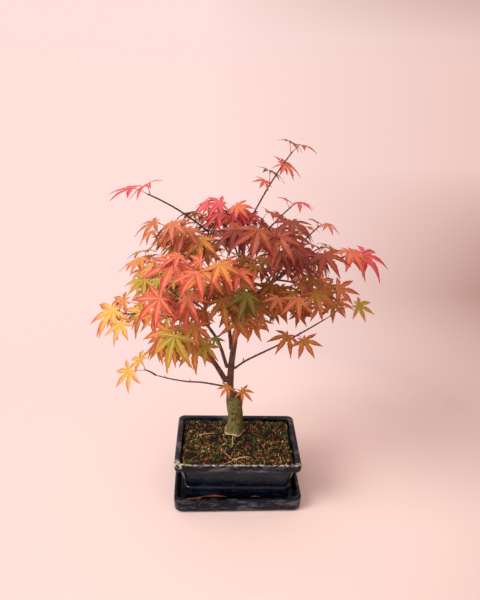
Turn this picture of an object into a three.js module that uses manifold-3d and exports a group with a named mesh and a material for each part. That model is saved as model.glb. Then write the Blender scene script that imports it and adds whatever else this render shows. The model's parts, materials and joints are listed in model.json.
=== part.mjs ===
// A potted maple bonsai in autumn leaf: drip tray, glazed pot, soil, chopped trunk with its
// new leader, boughs, and sprays of leaves that grow from the boughs by a seeded rule.
// Millimetres, +Z up, front toward -Y. The origin is on the surface that the tray stands on,
// under the middle of the pot.

import * as THREE from "three";
import { mergeVertices } from "three/addons/utils/BufferGeometryUtils.js";
import Module from "manifold-3d";

const wasm = await Module();
wasm.setup();

// Driving dimensions
const clearance = 0.3;

const trayWidth = 153;
const trayDepth = 112;
const trayHeight = 18.3;
const trayWall = 4.6;
const trayFloor = 4.5;
const trayCorner = 9;
const trayTurn = THREE.MathUtils.degToRad(1.3);

const potWidth = 150;
const potDepth = 112;
const potHeight = 64.9;
const potCorner = 7;
const lipHeight = 6.8;
const lipOverhang = 6;
const ledgeHeight = 28;
const footWidth = 126;
const footDepth = 88;
const potWall = 7;
const footWall = 6;
const recessTop = 14;
const potFloor = 20;
const archWidth = 92;
const archHeight = 9;
const cornerSteps = 3;

const soilLevel = 62.6;
const soilEdgeDrop = 1.6;
const soilEdgeWidth = 5;

const trunkX = -2.5;
const trunkY = 24;
const trunkSides = 12;
const leaderSides = 8;
const leaderSteps = 12;
const boughSides = 5;
const boughSteps = 8;
const twigSides = 3;
const stemSteps = 3;

// A leaf is a star of five lobes about the end of its stalk. The lobe directions are in
// degrees from the middle lobe, and the reaches are shares of the middle lobe's length.
const lobeAngles = [-92, -44, 0, 44, 92];
const lobeReaches = [0.72, 0.94, 1, 0.94, 0.72];
const sinusReach = 0.37;
const heelAngle = 165;
const heelReach = 0.08;
const leafThickness = 0.045;
const stalkRadius = 0.7;

// Sprays keep apart on the flat faces half way between their middles. Heights count for
// more than widths there, because leaves lie in level pads.
const heightWeight = 1.7;
const cellMargin = 0.3;
const limbMargin = 0.5;
const leafTries = 9;
const blade = 0.3;
const crowding = 0.42;
const stackWeight = 2.4;
const leastTurn = 0.3;
const jointStep = 2.2;

// How leaves and sprigs grow. Lengths are shares of a full leaf's middle lobe, and a range is
// its least value and how much a random number from 0 to 1 adds.
const stalkRange = [0.4, 0.4];
const droopRange = [0.1, 0.25];
const fallRange = [0.25, 0.6];
const sizeRange = [0.82, 0.3];
const sprigRange = [0.8, 0.5];
const firstNode = 0.4;
const endNodeSize = 0.86;
const sprigLeafSize = 0.92;
const endLeafSize = 0.7;
const endLeafStep = 2.4;
const pairStep = 0.4;
const pairRoll = 0.9;
const openPair = 0.72;
const forwardPair = 0.5;
const turnAside = 0.3;
const shrinkStep = 0.045;

const up = new THREE.Vector3(0, 0, 1);
const crownMiddle = new THREE.Vector3(-4, 20, 250);
const lightSide = new THREE.Vector3(-0.3, -0.85, 0.35).normalize();
const levelHeight = 320;
const levelDepth = 70;
const mostTurn = 0.85;

// Materials
function surface(color, roughness, metalness = 0) {
  return new THREE.MeshStandardMaterial({ color, roughness, metalness });
}

const navyGlaze = surface(0x10141d, 0.2);
const soilMix = surface(0x3a2c1c, 0.95);
const oldBark = surface(0x57512f, 0.85);
const youngBark = surface(0x7a5346, 0.7);
const leafTints = {
  yellow: surface(0xd9a545, 0.6),
  orange: surface(0xd4713a, 0.6),
  coral: surface(0xcf5440, 0.6),
  brown: surface(0xa05432, 0.6),
  red: surface(0x9c2c30, 0.6),
  crimson: surface(0xc43249, 0.6),
};

// Mesh and solid conversion
function solidFrom(geometry) {
  const bare = geometry.clone();
  bare.deleteAttribute("normal");
  bare.deleteAttribute("uv");
  const merged = mergeVertices(bare, 1e-4);
  return new wasm.Manifold(
    new wasm.Mesh({
      numProp: 3,
      vertProperties: new Float32Array(merged.attributes.position.array),
      triVerts: new Uint32Array(merged.index.array),
    }),
  );
}

function geometryFrom(solid) {
  const mesh = solid.getMesh();
  const geometry = new THREE.BufferGeometry();
  geometry.setAttribute("position", new THREE.BufferAttribute(mesh.vertProperties, 3));
  geometry.setIndex(new THREE.BufferAttribute(mesh.triVerts, 1));
  geometry.computeVertexNormals();
  return geometry;
}

// The largest body of a solid, with its scraps dropped and its sealed hollows filled.
function mainBody(solid) {
  const bodies = solid.decompose();
  bodies.sort((a, b) => b.volume() - a.volume());
  return bodies[0];
}

function namedMesh(name, geometry, material) {
  const mesh = new THREE.Mesh(geometry, material);
  mesh.name = name;
  return mesh;
}

// Pottery shapes
function roundedRectangle(width, depth, corner) {
  const x = width / 2;
  const y = depth / 2;
  const shape = new THREE.Shape();
  shape.absarc(x - corner, y - corner, corner, 0, Math.PI / 2);
  shape.absarc(-x + corner, y - corner, corner, Math.PI / 2, Math.PI);
  shape.absarc(-x + corner, -y + corner, corner, Math.PI, 1.5 * Math.PI);
  shape.absarc(x - corner, -y + corner, corner, 1.5 * Math.PI, 2 * Math.PI);
  return shape;
}

// A block whose rounded rectangle changes its width and depth from level to level.
function block(levels, corner) {
  const [base] = levels;
  const steps = levels.length - 1;
  const outline = roundedRectangle(base.width, base.depth, corner);
  const geometry = new THREE.ExtrudeGeometry(outline, {
    depth: steps,
    steps,
    bevelEnabled: false,
    curveSegments: cornerSteps,
  });
  const position = geometry.attributes.position;
  for (let i = 0; i < position.count; i += 1) {
    const level = levels[Math.round(position.getZ(i))];
    position.setX(i, (position.getX(i) * level.width) / base.width);
    position.setY(i, (position.getY(i) * level.depth) / base.depth);
    position.setZ(i, level.z);
  }
  return solidFrom(geometry);
}

function makeTray() {
  const outer = block(
    [
      { z: 0, width: trayWidth - 5, depth: trayDepth - 5 },
      { z: 3, width: trayWidth - 1, depth: trayDepth - 1 },
      { z: trayHeight, width: trayWidth, depth: trayDepth },
    ],
    trayCorner,
  );
  const innerWidth = trayWidth - 2 * trayWall;
  const innerDepth = trayDepth - 2 * trayWall;
  const inner = block(
    [
      { z: trayFloor, width: innerWidth - 3, depth: innerDepth - 3 },
      { z: trayHeight + 1, width: innerWidth, depth: innerDepth },
    ],
    trayCorner - trayWall / 2,
  );
  return outer.subtract(inner);
}

const potBase = trayFloor + clearance;
const cavityWidth = potWidth - 2 * potWall;
const cavityDepth = potDepth - 2 * potWall;
const cavityFloorWidth = footWidth - 2 * potWall;
const cavityFloorDepth = footDepth - 2 * potWall;
const cavityCorner = 5;

function makeArch() {
  const shape = new THREE.Shape();
  shape.moveTo(-archWidth / 2, -1);
  shape.lineTo(archWidth / 2, -1);
  shape.lineTo(archWidth / 2, 0);
  shape.quadraticCurveTo(archWidth / 2 - 8, archHeight, archWidth / 4, archHeight);
  shape.lineTo(-archWidth / 4, archHeight);
  shape.quadraticCurveTo(-archWidth / 2 + 8, archHeight, -archWidth / 2, 0);
  const geometry = new THREE.ExtrudeGeometry(shape, {
    depth: potDepth,
    bevelEnabled: false,
    curveSegments: 5,
  });
  geometry.rotateX(Math.PI / 2);
  geometry.translate(0, potDepth / 2, potBase);
  return solidFrom(geometry);
}

function makePot() {
  const bodyWidth = potWidth - 2 * lipOverhang;
  const bodyDepth = potDepth - 2 * lipOverhang;
  const lipFoot = potHeight - lipHeight;
  const outer = block(
    [
      { z: potBase, width: footWidth, depth: footDepth },
      { z: ledgeHeight - 1, width: footWidth, depth: footDepth },
      { z: ledgeHeight, width: footWidth - 2, depth: footDepth - 2 },
      { z: lipFoot - 1, width: bodyWidth, depth: bodyDepth },
      { z: lipFoot, width: potWidth - 1, depth: potDepth - 1 },
      { z: potHeight - 1.5, width: potWidth, depth: potDepth },
      { z: potHeight, width: potWidth - 2, depth: potDepth - 2 },
    ],
    potCorner,
  );
  const cavity = block(
    [
      { z: potFloor, width: cavityFloorWidth, depth: cavityFloorDepth },
      { z: lipFoot - 1, width: cavityWidth - 2, depth: cavityDepth - 2 },
      { z: potHeight + 1, width: cavityWidth, depth: cavityDepth },
    ],
    cavityCorner,
  );
  const recess = block(
    [
      { z: potBase - 1, width: footWidth - 2 * footWall, depth: footDepth - 2 * footWall },
      { z: recessTop, width: footWidth - 2 * footWall - 4, depth: footDepth - 2 * footWall - 4 },
    ],
    cavityCorner,
  );
  return outer.subtract(cavity).subtract(recess).subtract(makeArch());
}

function makeSoil() {
  const gap = 2 * clearance + 0.2;
  const lipFoot = potHeight - lipHeight - 1;
  const edge = soilLevel - soilEdgeDrop;
  return block(
    [
      { z: potFloor + clearance, width: cavityFloorWidth - gap, depth: cavityFloorDepth - gap },
      { z: lipFoot, width: cavityWidth - 2 - gap, depth: cavityDepth - 2 - gap },
      { z: edge, width: cavityWidth - 1.6 - gap, depth: cavityDepth - 1.6 - gap },
      {
        z: soilLevel,
        width: cavityWidth - 2 * soilEdgeWidth,
        depth: cavityDepth - 2 * soilEdgeWidth,
      },
    ],
    cavityCorner - clearance,
  );
}

// Limbs
// A limb has a curve and a radius that runs from its foot to its tip. The share of the
// taper that is done at u is u to the power of the limb's hold.
function radiusAt(limb, u) {
  return limb.foot + (limb.tip - limb.foot) * u ** limb.hold;
}

// A closed tube along the limb. CylinderGeometry gives the rings, and each ring is moved
// to its place across the curve.
function limbSolid(limb, sides, steps) {
  const geometry = new THREE.CylinderGeometry(1, 1, 1, sides, steps);
  const frames = limb.curve.computeFrenetFrames(steps, false);
  const position = geometry.attributes.position;
  for (let i = 0; i < position.count; i += 1) {
    const ring = Math.round((position.getY(i) + 0.5) * steps);
    const u = ring / steps;
    const radius = radiusAt(limb, u);
    const normal = frames.normals[ring];
    const side = normal.clone().cross(frames.tangents[ring]);
    const point = limb.curve.getPointAt(u);
    point.addScaledVector(normal, position.getX(i) * radius);
    point.addScaledVector(side, position.getZ(i) * radius);
    position.setXYZ(i, point.x, point.y, point.z);
  }
  return solidFrom(geometry);
}

function limbSegments(limb, steps) {
  const segments = [];
  for (let i = 0; i < steps; i += 1) {
    const a = limb.curve.getPointAt(i / steps);
    const b = limb.curve.getPointAt((i + 1) / steps);
    const radius = Math.max(radiusAt(limb, i / steps), radiusAt(limb, (i + 1) / steps));
    segments.push({ a, b, radius, middle: a.clone().lerp(b, 0.5), half: a.distanceTo(b) / 2 });
  }
  return segments;
}

// Where a limb of this radius starts on its parent, clear of the parent's bark.
function seatOn(parent, at, toward, radius) {
  const axisPoint = parent.curve.getPointAt(at);
  const along = parent.curve.getTangentAt(at);
  const direction = toward.clone().sub(axisPoint).normalize();
  const cosine = Math.abs(direction.dot(along));
  if (at === 1) {
    const sine = Math.sqrt(1 - cosine * cosine);
    return axisPoint.addScaledVector(along, clearance + radius * sine);
  }
  const outward = direction.addScaledVector(along, -direction.dot(along)).normalize();
  return axisPoint.addScaledVector(outward, radiusAt(parent, at) + clearance + radius * cosine);
}

// Trunk: the old stem, cut off short, and the leader that has grown on beside the cut.
const oldStem = {
  curve: new THREE.CatmullRomCurve3([
    new THREE.Vector3(trunkX, trunkY, soilLevel + clearance),
    new THREE.Vector3(trunkX + 0.6, trunkY, 78),
    new THREE.Vector3(trunkX - 0.8, trunkY, 98),
    new THREE.Vector3(trunkX - 1.5, trunkY + 1, 115),
  ]),
};
const oldStemRadii = [12.6, 10.8, 9.8, 9.2, 9.2, 9.6, 10.4, 10.6, 9.4];
const rootLobes = 5;
const rootFlare = 0.13;
const cutSlant = 2.5;
const knobRadius = 3.6;
const knobPlace = [trunkX - 10, trunkY - 2, 103];

const leader = {
  curve: new THREE.CatmullRomCurve3([
    new THREE.Vector3(-6.5, 22, 96),
    new THREE.Vector3(-9.5, 21, 120),
    new THREE.Vector3(-9.5, 22, 140),
    new THREE.Vector3(-8.8, 22, 158),
    new THREE.Vector3(-6, 23, 184),
    new THREE.Vector3(-4, 23.6, 198),
  ]),
  foot: 5.6,
  tip: 3.3,
  hold: 0.7,
};

function makeOldStem() {
  const steps = oldStemRadii.length - 1;
  const geometry = new THREE.CylinderGeometry(1, 1, 1, trunkSides, steps);
  const position = geometry.attributes.position;
  for (let i = 0; i < position.count; i += 1) {
    const ring = Math.round((position.getY(i) + 0.5) * steps);
    const x = position.getX(i);
    const y = -position.getZ(i);
    const flare = 1 + rootFlare * Math.max(0, 1 - ring / 2) * Math.cos(rootLobes * Math.atan2(y, x));
    const radius = oldStemRadii[ring] * flare;
    const point = oldStem.curve.getPointAt(ring / steps);
    const slant = ring === steps ? cutSlant * x : 0;
    position.setXYZ(i, point.x + x * radius, point.y + y * radius, point.z - slant);
  }
  return solidFrom(geometry);
}

function makeTrunk() {
  const knob = new THREE.IcosahedronGeometry(knobRadius, 0);
  knob.translate(...knobPlace);
  const young = limbSolid(leader, leaderSides, leaderSteps);
  return makeOldStem().add(young).add(solidFrom(knob));
}

// Boughs: each starts on a parent at a share of its length and passes through its bends.
const boughRows = [
  { name: "left_bough", parent: "leader", at: 0.42, foot: 3.4, tip: 1.9,
    bends: [[-26, 17, 158], [-40, 12, 182], [-52, 4, 206], [-60, -2, 226]] },
  { name: "middle_bough", parent: "leader", at: 0.6, foot: 2.3, tip: 1.5,
    bends: [[-25, 14, 193], [-38, 8, 217], [-51, 4, 237]] },
  { name: "rising_bough", parent: "middle_bough", at: 0.72, foot: 1.5, tip: 1.1,
    bends: [[-42, 14, 240], [-47, 14, 276], [-42, 14, 307], [-38, 14, 326]] },
  { name: "upper_bough", parent: "leader", at: 1, foot: 3.2, tip: 1.8,
    bends: [[1, 25, 222], [11, 27, 240], [30, 31, 257], [54, 34, 275]] },
  { name: "crest_bough", parent: "upper_bough", at: 0.5, foot: 2, tip: 1.2,
    bends: [[8, 22, 265], [-2, 18, 296], [-4, 18, 328]] },
  { name: "front_bough", parent: "leader", at: 0.93, foot: 2, tip: 1.3,
    bends: [[-4, 6, 204], [-6, -18, 228], [-4, -42, 252]] },
  { name: "right_bough", parent: "leader", at: 0.58, foot: 1.35, tip: 0.9,
    bends: [[8, 14, 168], [46, 4, 195], [74, -4, 217], [100, -13, 240]] },
  { name: "low_left_bough", parent: "leader", at: 0.32, foot: 1.25, tip: 0.85,
    bends: [[-46, 16, 137], [-62, 12, 140], [-86, 6, 148], [-98, 2, 154]] },
  { name: "back_bough", parent: "leader", at: 0.8, foot: 2.6, tip: 1.4,
    bends: [[-14, 50, 206], [-24, 74, 230], [-28, 92, 252]] },
  { name: "back_right_bough", parent: "upper_bough", at: 0.34, foot: 2, tip: 1.2,
    bends: [[22, 50, 236], [44, 74, 252], [58, 92, 268]] },
];

function vector(xyz) {
  return new THREE.Vector3(xyz[0], xyz[1], xyz[2]);
}

const limbs = { leader };
for (const row of boughRows) {
  const parent = limbs[row.parent];
  const start = seatOn(parent, row.at, vector(row.bends[0]), row.foot);
  limbs[row.name] = {
    curve: new THREE.CatmullRomCurve3([start, ...row.bends.map(vector)]),
    foot: row.foot,
    tip: row.tip,
    hold: 1,
  };
}

// Sprays: each grows from its bough at a share of the bough's length toward its end. It has
// so many leaf nodes, of which the first few bear side sprigs, and a full leaf's middle lobe
// is so long.
const sprayRows = [
  { name: "low_left_spray", bough: "low_left_bough", at: 1, end: [-112, 6, 159], nodes: 1,
    sprigs: 0, lobe: 37, seed: 210, tint: "orange" },
  { name: "outer_left_spray", bough: "left_bough", at: 1, end: [-130, -13, 239], nodes: 3,
    sprigs: 1, lobe: 40, seed: 471, tint: "yellow" },
  { name: "left_front_spray", bough: "left_bough", at: 0.9, end: [-56, -54, 243], nodes: 4,
    sprigs: 2, lobe: 44, seed: 448, tint: "yellow" },
  { name: "left_middle_spray", bough: "middle_bough", at: 1, end: [-92, -41, 290], nodes: 4,
    sprigs: 2, lobe: 36, seed: 892, tint: "orange" },
  { name: "left_upper_spray", bough: "rising_bough", at: 0.8, end: [-68, -27, 343], nodes: 4,
    sprigs: 2, lobe: 40.4, seed: 349, tint: "coral" },
  { name: "top_left_shoot", bough: "rising_bough", at: 1, end: [-101, -7, 373], nodes: 1,
    sprigs: 0, lobe: 33, seed: 626, tint: "crimson" },
  { name: "front_left_spray", bough: "rising_bough", at: 0.4, end: [-34, -109, 326], nodes: 4,
    sprigs: 2, lobe: 38, seed: 487, tint: "coral" },
  { name: "front_middle_spray", bough: "front_bough", at: 1, end: [-28, -75, 286], nodes: 3,
    sprigs: 1, lobe: 34, seed: 716, tint: "brown" },
  { name: "front_low_spray", bough: "front_bough", at: 0.6, end: [2, -40, 248], nodes: 3,
    sprigs: 1, lobe: 30, seed: 351, tint: "brown" },
  { name: "front_right_spray", bough: "upper_bough", at: 0.6, end: [55, -65, 283], nodes: 4,
    sprigs: 2, lobe: 31.1, seed: 99, tint: "brown" },
  { name: "front_high_spray", bough: "crest_bough", at: 0.75, end: [13, -87, 351], nodes: 3,
    sprigs: 2, lobe: 38.3, seed: 236, tint: "coral" },
  { name: "crest_spray", bough: "crest_bough", at: 1, end: [-21, -21, 361], nodes: 3,
    sprigs: 1, lobe: 30, seed: 463, tint: "crimson" },
  { name: "top_shoot", bough: "crest_bough", at: 0.9, end: [50, 13, 417], nodes: 4,
    sprigs: 0, lobe: 24, seed: 977, tint: "crimson" },
  { name: "crimson_shoot", bough: "crest_bough", at: 0.55, end: [51, 4, 360], nodes: 1,
    sprigs: 0, lobe: 22, seed: 853, tint: "crimson" },
  { name: "upper_right_spray", bough: "upper_bough", at: 0.78, end: [44, -76, 332], nodes: 4,
    sprigs: 2, lobe: 30.3, seed: 487, tint: "red" },
  { name: "right_top_runner", bough: "upper_bough", at: 0.7, end: [90, 43, 329], nodes: 3,
    sprigs: 0, lobe: 26.2, seed: 673, tint: "red" },
  { name: "right_spray", bough: "upper_bough", at: 0.92, end: [94, 33, 307], nodes: 4,
    sprigs: 2, lobe: 30, seed: 305, tint: "red" },
  { name: "right_end_spray", bough: "upper_bough", at: 1, end: [112, 0, 305], nodes: 2,
    sprigs: 0, lobe: 40, seed: 251, tint: "crimson" },
  { name: "right_low_spray", bough: "right_bough", at: 1, end: [115, 2, 243], nodes: 1,
    sprigs: 0, lobe: 27, seed: 920, tint: "orange" },
  { name: "star_spray", bough: "right_bough", at: 0.7, end: [64, -14, 215], nodes: 1,
    sprigs: 0, lobe: 30.6, seed: 633, tint: "orange" },
  { name: "right_back_spray", bough: "back_right_bough", at: 0.7, end: [91, 53, 274], nodes: 4,
    sprigs: 2, lobe: 32, seed: 711, tint: "red" },
  { name: "back_right_spray", bough: "back_right_bough", at: 1, end: [38, 116, 266], nodes: 4,
    sprigs: 2, lobe: 32, seed: 489, tint: "brown" },
  { name: "back_middle_spray", bough: "back_bough", at: 1, end: [-31, 133, 269], nodes: 4,
    sprigs: 2, lobe: 34, seed: 363, tint: "brown" },
  { name: "back_left_spray", bough: "back_bough", at: 0.8, end: [-84, 99, 287], nodes: 4,
    sprigs: 2, lobe: 32, seed: 711, tint: "orange" },
  { name: "back_high_spray", bough: "crest_bough", at: 0.5, end: [-23, 73, 325], nodes: 4,
    sprigs: 2, lobe: 33.7, seed: 910, tint: "red" },
  { name: "back_low_spray", bough: "back_bough", at: 0.5, end: [31, 57, 236], nodes: 3,
    sprigs: 1, lobe: 30, seed: 242, tint: "orange" },
  { name: "left_back_spray", bough: "left_bough", at: 0.65, end: [-102, 35, 255], nodes: 4,
    sprigs: 2, lobe: 32.3, seed: 570, tint: "yellow" },
  { name: "left_back_high_spray", bough: "rising_bough", at: 0.6, end: [-58, 31, 303], nodes: 4,
    sprigs: 2, lobe: 32.3, seed: 795, tint: "orange" },
  { name: "left_low_spray", bough: "left_bough", at: 0.75, end: [-57, -32, 205], nodes: 3,
    sprigs: 1, lobe: 37.4, seed: 825, tint: "yellow" },
  { name: "left_inner_spray", bough: "rising_bough", at: 0.15, end: [-68, -90, 287], nodes: 3,
    sprigs: 1, lobe: 37.6, seed: 793, tint: "coral" },
  { name: "middle_left_spray", bough: "left_bough", at: 0.98, end: [-50, -24, 246], nodes: 3,
    sprigs: 1, lobe: 29.1, seed: 950, tint: "orange" },
  { name: "middle_spray", bough: "rising_bough", at: 0.25, end: [-6, -34, 281], nodes: 3,
    sprigs: 2, lobe: 32, seed: 36, tint: "brown" },
  { name: "upper_front_spray", bough: "crest_bough", at: 0.35, end: [21, -62, 310], nodes: 4,
    sprigs: 2, lobe: 31.7, seed: 314, tint: "brown" },
  { name: "right_middle_spray", bough: "upper_bough", at: 0.86, end: [104, -21, 263], nodes: 3,
    sprigs: 1, lobe: 30, seed: 737, tint: "brown" },
  { name: "right_front_spray", bough: "upper_bough", at: 0.45, end: [61, -19, 246], nodes: 3,
    sprigs: 1, lobe: 28, seed: 841, tint: "brown" },
  { name: "upper_middle_spray", bough: "crest_bough", at: 0.65, end: [6, 27, 336], nodes: 3,
    sprigs: 2, lobe: 30, seed: 213, tint: "red" },
  { name: "left_far_spray", bough: "middle_bough", at: 0.8, end: [-108, 39, 281], nodes: 4,
    sprigs: 1, lobe: 34, seed: 864, tint: "orange" },
  { name: "back_top_spray", bough: "crest_bough", at: 0.8, end: [-51, 60, 333], nodes: 3,
    sprigs: 1, lobe: 30.3, seed: 414, tint: "brown" },
  { name: "back_far_spray", bough: "back_right_bough", at: 0.9, end: [27, 137, 285], nodes: 3,
    sprigs: 1, lobe: 30, seed: 683, tint: "orange" },
  { name: "inner_spray", bough: "middle_bough", at: 0.45, end: [-33, -5, 206], nodes: 1,
    sprigs: 0, lobe: 15.6, seed: 430, tint: "yellow" },
  { name: "trunk_spur", bough: "leader", at: 0.3, end: [-5, 4, 134], nodes: 1,
    sprigs: 0, lobe: 18, seed: 20, tint: "brown" },
];
const stemFoot = 1.15;
const stemTip = 0.75;
const sprigRadius = 0.8;
const spreadLift = 0.1;

// A small repeatable source of numbers from 0 to 1.
function seededRandom(seed) {
  let state = (seed * 7919 + 104729) % 2147483647;
  function next() {
    state = (state * 48271) % 2147483647;
    return state / 2147483647;
  }
  next();
  next();
  return next;
}

function mix(...terms) {
  const sum = new THREE.Vector3();
  for (const [direction, share] of terms) {
    sum.addScaledVector(direction, share);
  }
  return sum.normalize();
}

function inRange([least, spread], random) {
  return least + spread * random();
}

function jitter(random) {
  return new THREE.Vector3(random() - 0.5, random() - 0.5, random() - 0.5);
}

// The stem of a spray: one arch from its bough to its end.
function makeStem(row) {
  const parent = limbs[row.bough];
  const end = vector(row.end);
  const joint = parent.curve.getPointAt(row.at);
  const arch = joint.clone().lerp(end, 0.5);
  arch.z += spreadLift * joint.distanceTo(end);
  const start = seatOn(parent, row.at, arch, stemFoot);
  const curve = new THREE.QuadraticBezierCurve3(start, arch, end);
  return { curve, foot: stemFoot, tip: stemTip, hold: 1 };
}

const sprays = sprayRows.map((row) => ({ ...row, stem: makeStem(row) }));
for (const spray of sprays) {
  spray.middle = spray.stem.curve.getPoint(0.8);
}

// The flat faces of each spray's own space, as unit normals that point in.
for (const spray of sprays) {
  spray.faces = sprays.filter((other) => other !== spray).map((other) => {
    const normal = spray.middle.clone().sub(other.middle);
    normal.z *= heightWeight;
    normal.normalize();
    const half = spray.middle.clone().add(other.middle).multiplyScalar(0.5);
    return { normal, offset: normal.dot(half) };
  });
}

// How far a point lies inside the spray's own space, measured to its nearest face.
function insideCell(spray, point) {
  let least = Infinity;
  for (const face of spray.faces) {
    least = Math.min(least, face.normal.dot(point) - face.offset);
  }
  return least;
}

// The least distance between two straight pieces.
function segmentDistance(a, b, c, d) {
  const u = b.clone().sub(a);
  const v = d.clone().sub(c);
  const w = a.clone().sub(c);
  const uu = u.dot(u);
  const uv = u.dot(v);
  const vv = v.dot(v);
  const uw = u.dot(w);
  const vw = v.dot(w);
  const cross = uu * vv - uv * uv;
  let s = cross > 1e-9 ? THREE.MathUtils.clamp((uv * vw - vv * uw) / cross, 0, 1) : 0;
  let t = vv > 1e-9 ? (uv * s + vw) / vv : 0;
  t = THREE.MathUtils.clamp(t, 0, 1);
  s = uu > 1e-9 ? THREE.MathUtils.clamp((uv * t - uw) / uu, 0, 1) : 0;
  return a.clone().addScaledVector(u, s).distanceTo(c.clone().addScaledVector(v, t));
}

const ray = new THREE.Ray();
const hit = new THREE.Vector3();

function pierces(a, b, corners) {
  const length = a.distanceTo(b);
  ray.origin.copy(a);
  ray.direction.copy(b).sub(a).divideScalar(length);
  const found = ray.intersectTriangle(corners[0], corners[1], corners[2], false, hit);
  return found !== null && hit.distanceTo(a) <= length;
}

// A point of the leaf at an angle from its middle lobe, drooping more the further out it is.
function leafPoint(leaf, degrees, reach) {
  const angle = THREE.MathUtils.degToRad(degrees);
  const side = leaf.forward.clone().cross(leaf.normal);
  const point = leaf.centre.clone();
  point.addScaledVector(leaf.forward, Math.cos(angle) * reach * leaf.size);
  point.addScaledVector(side, Math.sin(angle) * reach * leaf.size);
  point.addScaledVector(leaf.normal, -leaf.droop * reach * reach * leaf.size);
  return point;
}

// The leaf's outline from heel to heel: lobe tips with a sinus between each two.
function leafOutline(leaf) {
  const points = [leafPoint(leaf, -heelAngle, heelReach)];
  lobeAngles.forEach((angle, lobe) => {
    if (lobe > 0) {
      points.push(leafPoint(leaf, (angle + lobeAngles[lobe - 1]) / 2, sinusReach));
    }
    points.push(leafPoint(leaf, angle, lobeReaches[lobe]));
  });
  points.push(leafPoint(leaf, heelAngle, heelReach));
  return points;
}

function leafTriangles(leaf) {
  return leaf.outline.slice(1).map((point, i) => [leaf.centre, leaf.outline[i], point]);
}

function leafEdges(leaf) {
  const rays = leaf.outline.map((point) => [leaf.centre, point]);
  const rim = leaf.outline.slice(1).map((point, i) => [leaf.outline[i], point]);
  return [[leaf.root, leaf.centre], ...rays, ...rim];
}

function cuts(leaf, other) {
  const triangles = leafTriangles(other);
  return leafEdges(leaf).some(([a, b]) => triangles.some((corners) => pierces(a, b, corners)));
}

// Leaves of one spray keep apart too, by less where one hangs above the other, and none
// passes through another.
function apartFrom(leaf, other) {
  const gap = leafPoint(leaf, 0, blade).sub(leafPoint(other, 0, blade));
  const facing = leaf.normal.clone().add(other.normal).normalize();
  const above = gap.dot(facing);
  const flat = Math.sqrt(Math.max(gap.lengthSq() - above * above, 0));
  if (Math.hypot(flat, stackWeight * above) < crowding * (leaf.size + other.size)) return false;
  return !cuts(leaf, other) && !cuts(other, leaf);
}

function leafFits(spray, leaf, obstacles, leaves) {
  const outline = leafOutline(leaf);
  leaf.outline = outline;
  const half = (leaf.size * leafThickness) / 2;
  if (insideCell(spray, leaf.centre) < cellMargin + half) return false;
  if (outline.some((point) => insideCell(spray, point) < cellMargin)) return false;
  if (!leaves.every((other) => apartFrom(leaf, other))) return false;
  for (const limb of obstacles) {
    const room = limb.radius + limbMargin;
    const span = limb.half + leaf.size * 1.1 + leaf.stalk + room;
    if (limb.middle.distanceTo(leaf.centre) > span) continue;
    if (segmentDistance(limb.a, limb.b, leaf.root, leaf.centre) < room + stalkRadius) {
      return false;
    }
    for (let i = 1; i < outline.length; i += 1) {
      const corners = [leaf.centre, outline[i - 1], outline[i]];
      if (segmentDistance(limb.a, limb.b, leaf.centre, outline[i]) < room + half) return false;
      if (segmentDistance(limb.a, limb.b, outline[i - 1], outline[i]) < room) return false;
      if (pierces(limb.a, limb.b, corners)) return false;
    }
  }
  return true;
}

function twigFits(spray, a, b, obstacles) {
  if (insideCell(spray, b) < cellMargin + sprigRadius) return false;
  const room = limbMargin + sprigRadius;
  return obstacles.every((limb) => segmentDistance(limb.a, limb.b, a, b) > limb.radius + room);
}

// How much a leaf turns its face to the light: low leaves in front do, and those near the
// level height or the level depth and beyond lie level.
function turnToLight(place) {
  const low = THREE.MathUtils.clamp((levelHeight - place.z) / 70, 0.1, 1);
  const front = THREE.MathUtils.clamp((levelDepth - place.y) / 60, 0.15, 1);
  return mostTurn * low * front;
}

// A leaf on its stalk, with its middle lobe pointing away and down. It is tried at its first
// place, and then turned aside and made smaller until it fits.
function growLeaf(spray, root, heading, size, random, obstacles, leaves) {
  const turnSign = random() < 0.5 ? -1 : 1;
  const stalk = size * inRange(stalkRange, random);
  const shake = jitter(random);
  const tilt = jitter(random);
  const droop = inRange(droopRange, random);
  const fall = inRange(fallRange, random);
  for (let attempt = 0; attempt < leafTries; attempt += 1) {
    const swing = turnSign * (attempt % 2 === 0 ? 1 : -1) * Math.ceil(attempt / 2) * turnAside;
    const shrink = 1 - shrinkStep * attempt;
    const aim = heading.clone().applyAxisAngle(up, swing);
    const direction = mix([aim, 1], [up, 0.25], [shake, 0.4]);
    const length = stalk * shrink;
    const centre = root.clone().addScaledVector(direction, length);
    const outward = centre.clone().sub(crownMiddle).setZ(0).normalize();
    const normal = mix([up, 0.8], [outward, 0.3], [lightSide, turnToLight(centre)], [tilt, 0.5]);
    const lean = mix([aim, 0.8], [outward, 0.35], [up, -fall]);
    const forward = lean.addScaledVector(normal, -lean.dot(normal)).normalize();
    const leaf = { root, centre, forward, normal, size: size * shrink, stalk: length, droop };
    if (forward.dot(direction) < leastTurn) continue;
    if (leafFits(spray, leaf, obstacles, leaves)) return leaf;
  }
  return null;
}

// The headings of a pair of leaves or sprigs on either side of a twig. At the twig's end the
// pair opens forward.
function pairHeadings(along, open, random) {
  const side = along.clone().cross(up).normalize();
  const roll = (random() - 0.5) * pairRoll;
  side.applyAxisAngle(along, roll);
  return [
    mix([side, open], [along, 1 - open]),
    mix([side, -open], [along, 1 - open]),
  ];
}

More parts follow.
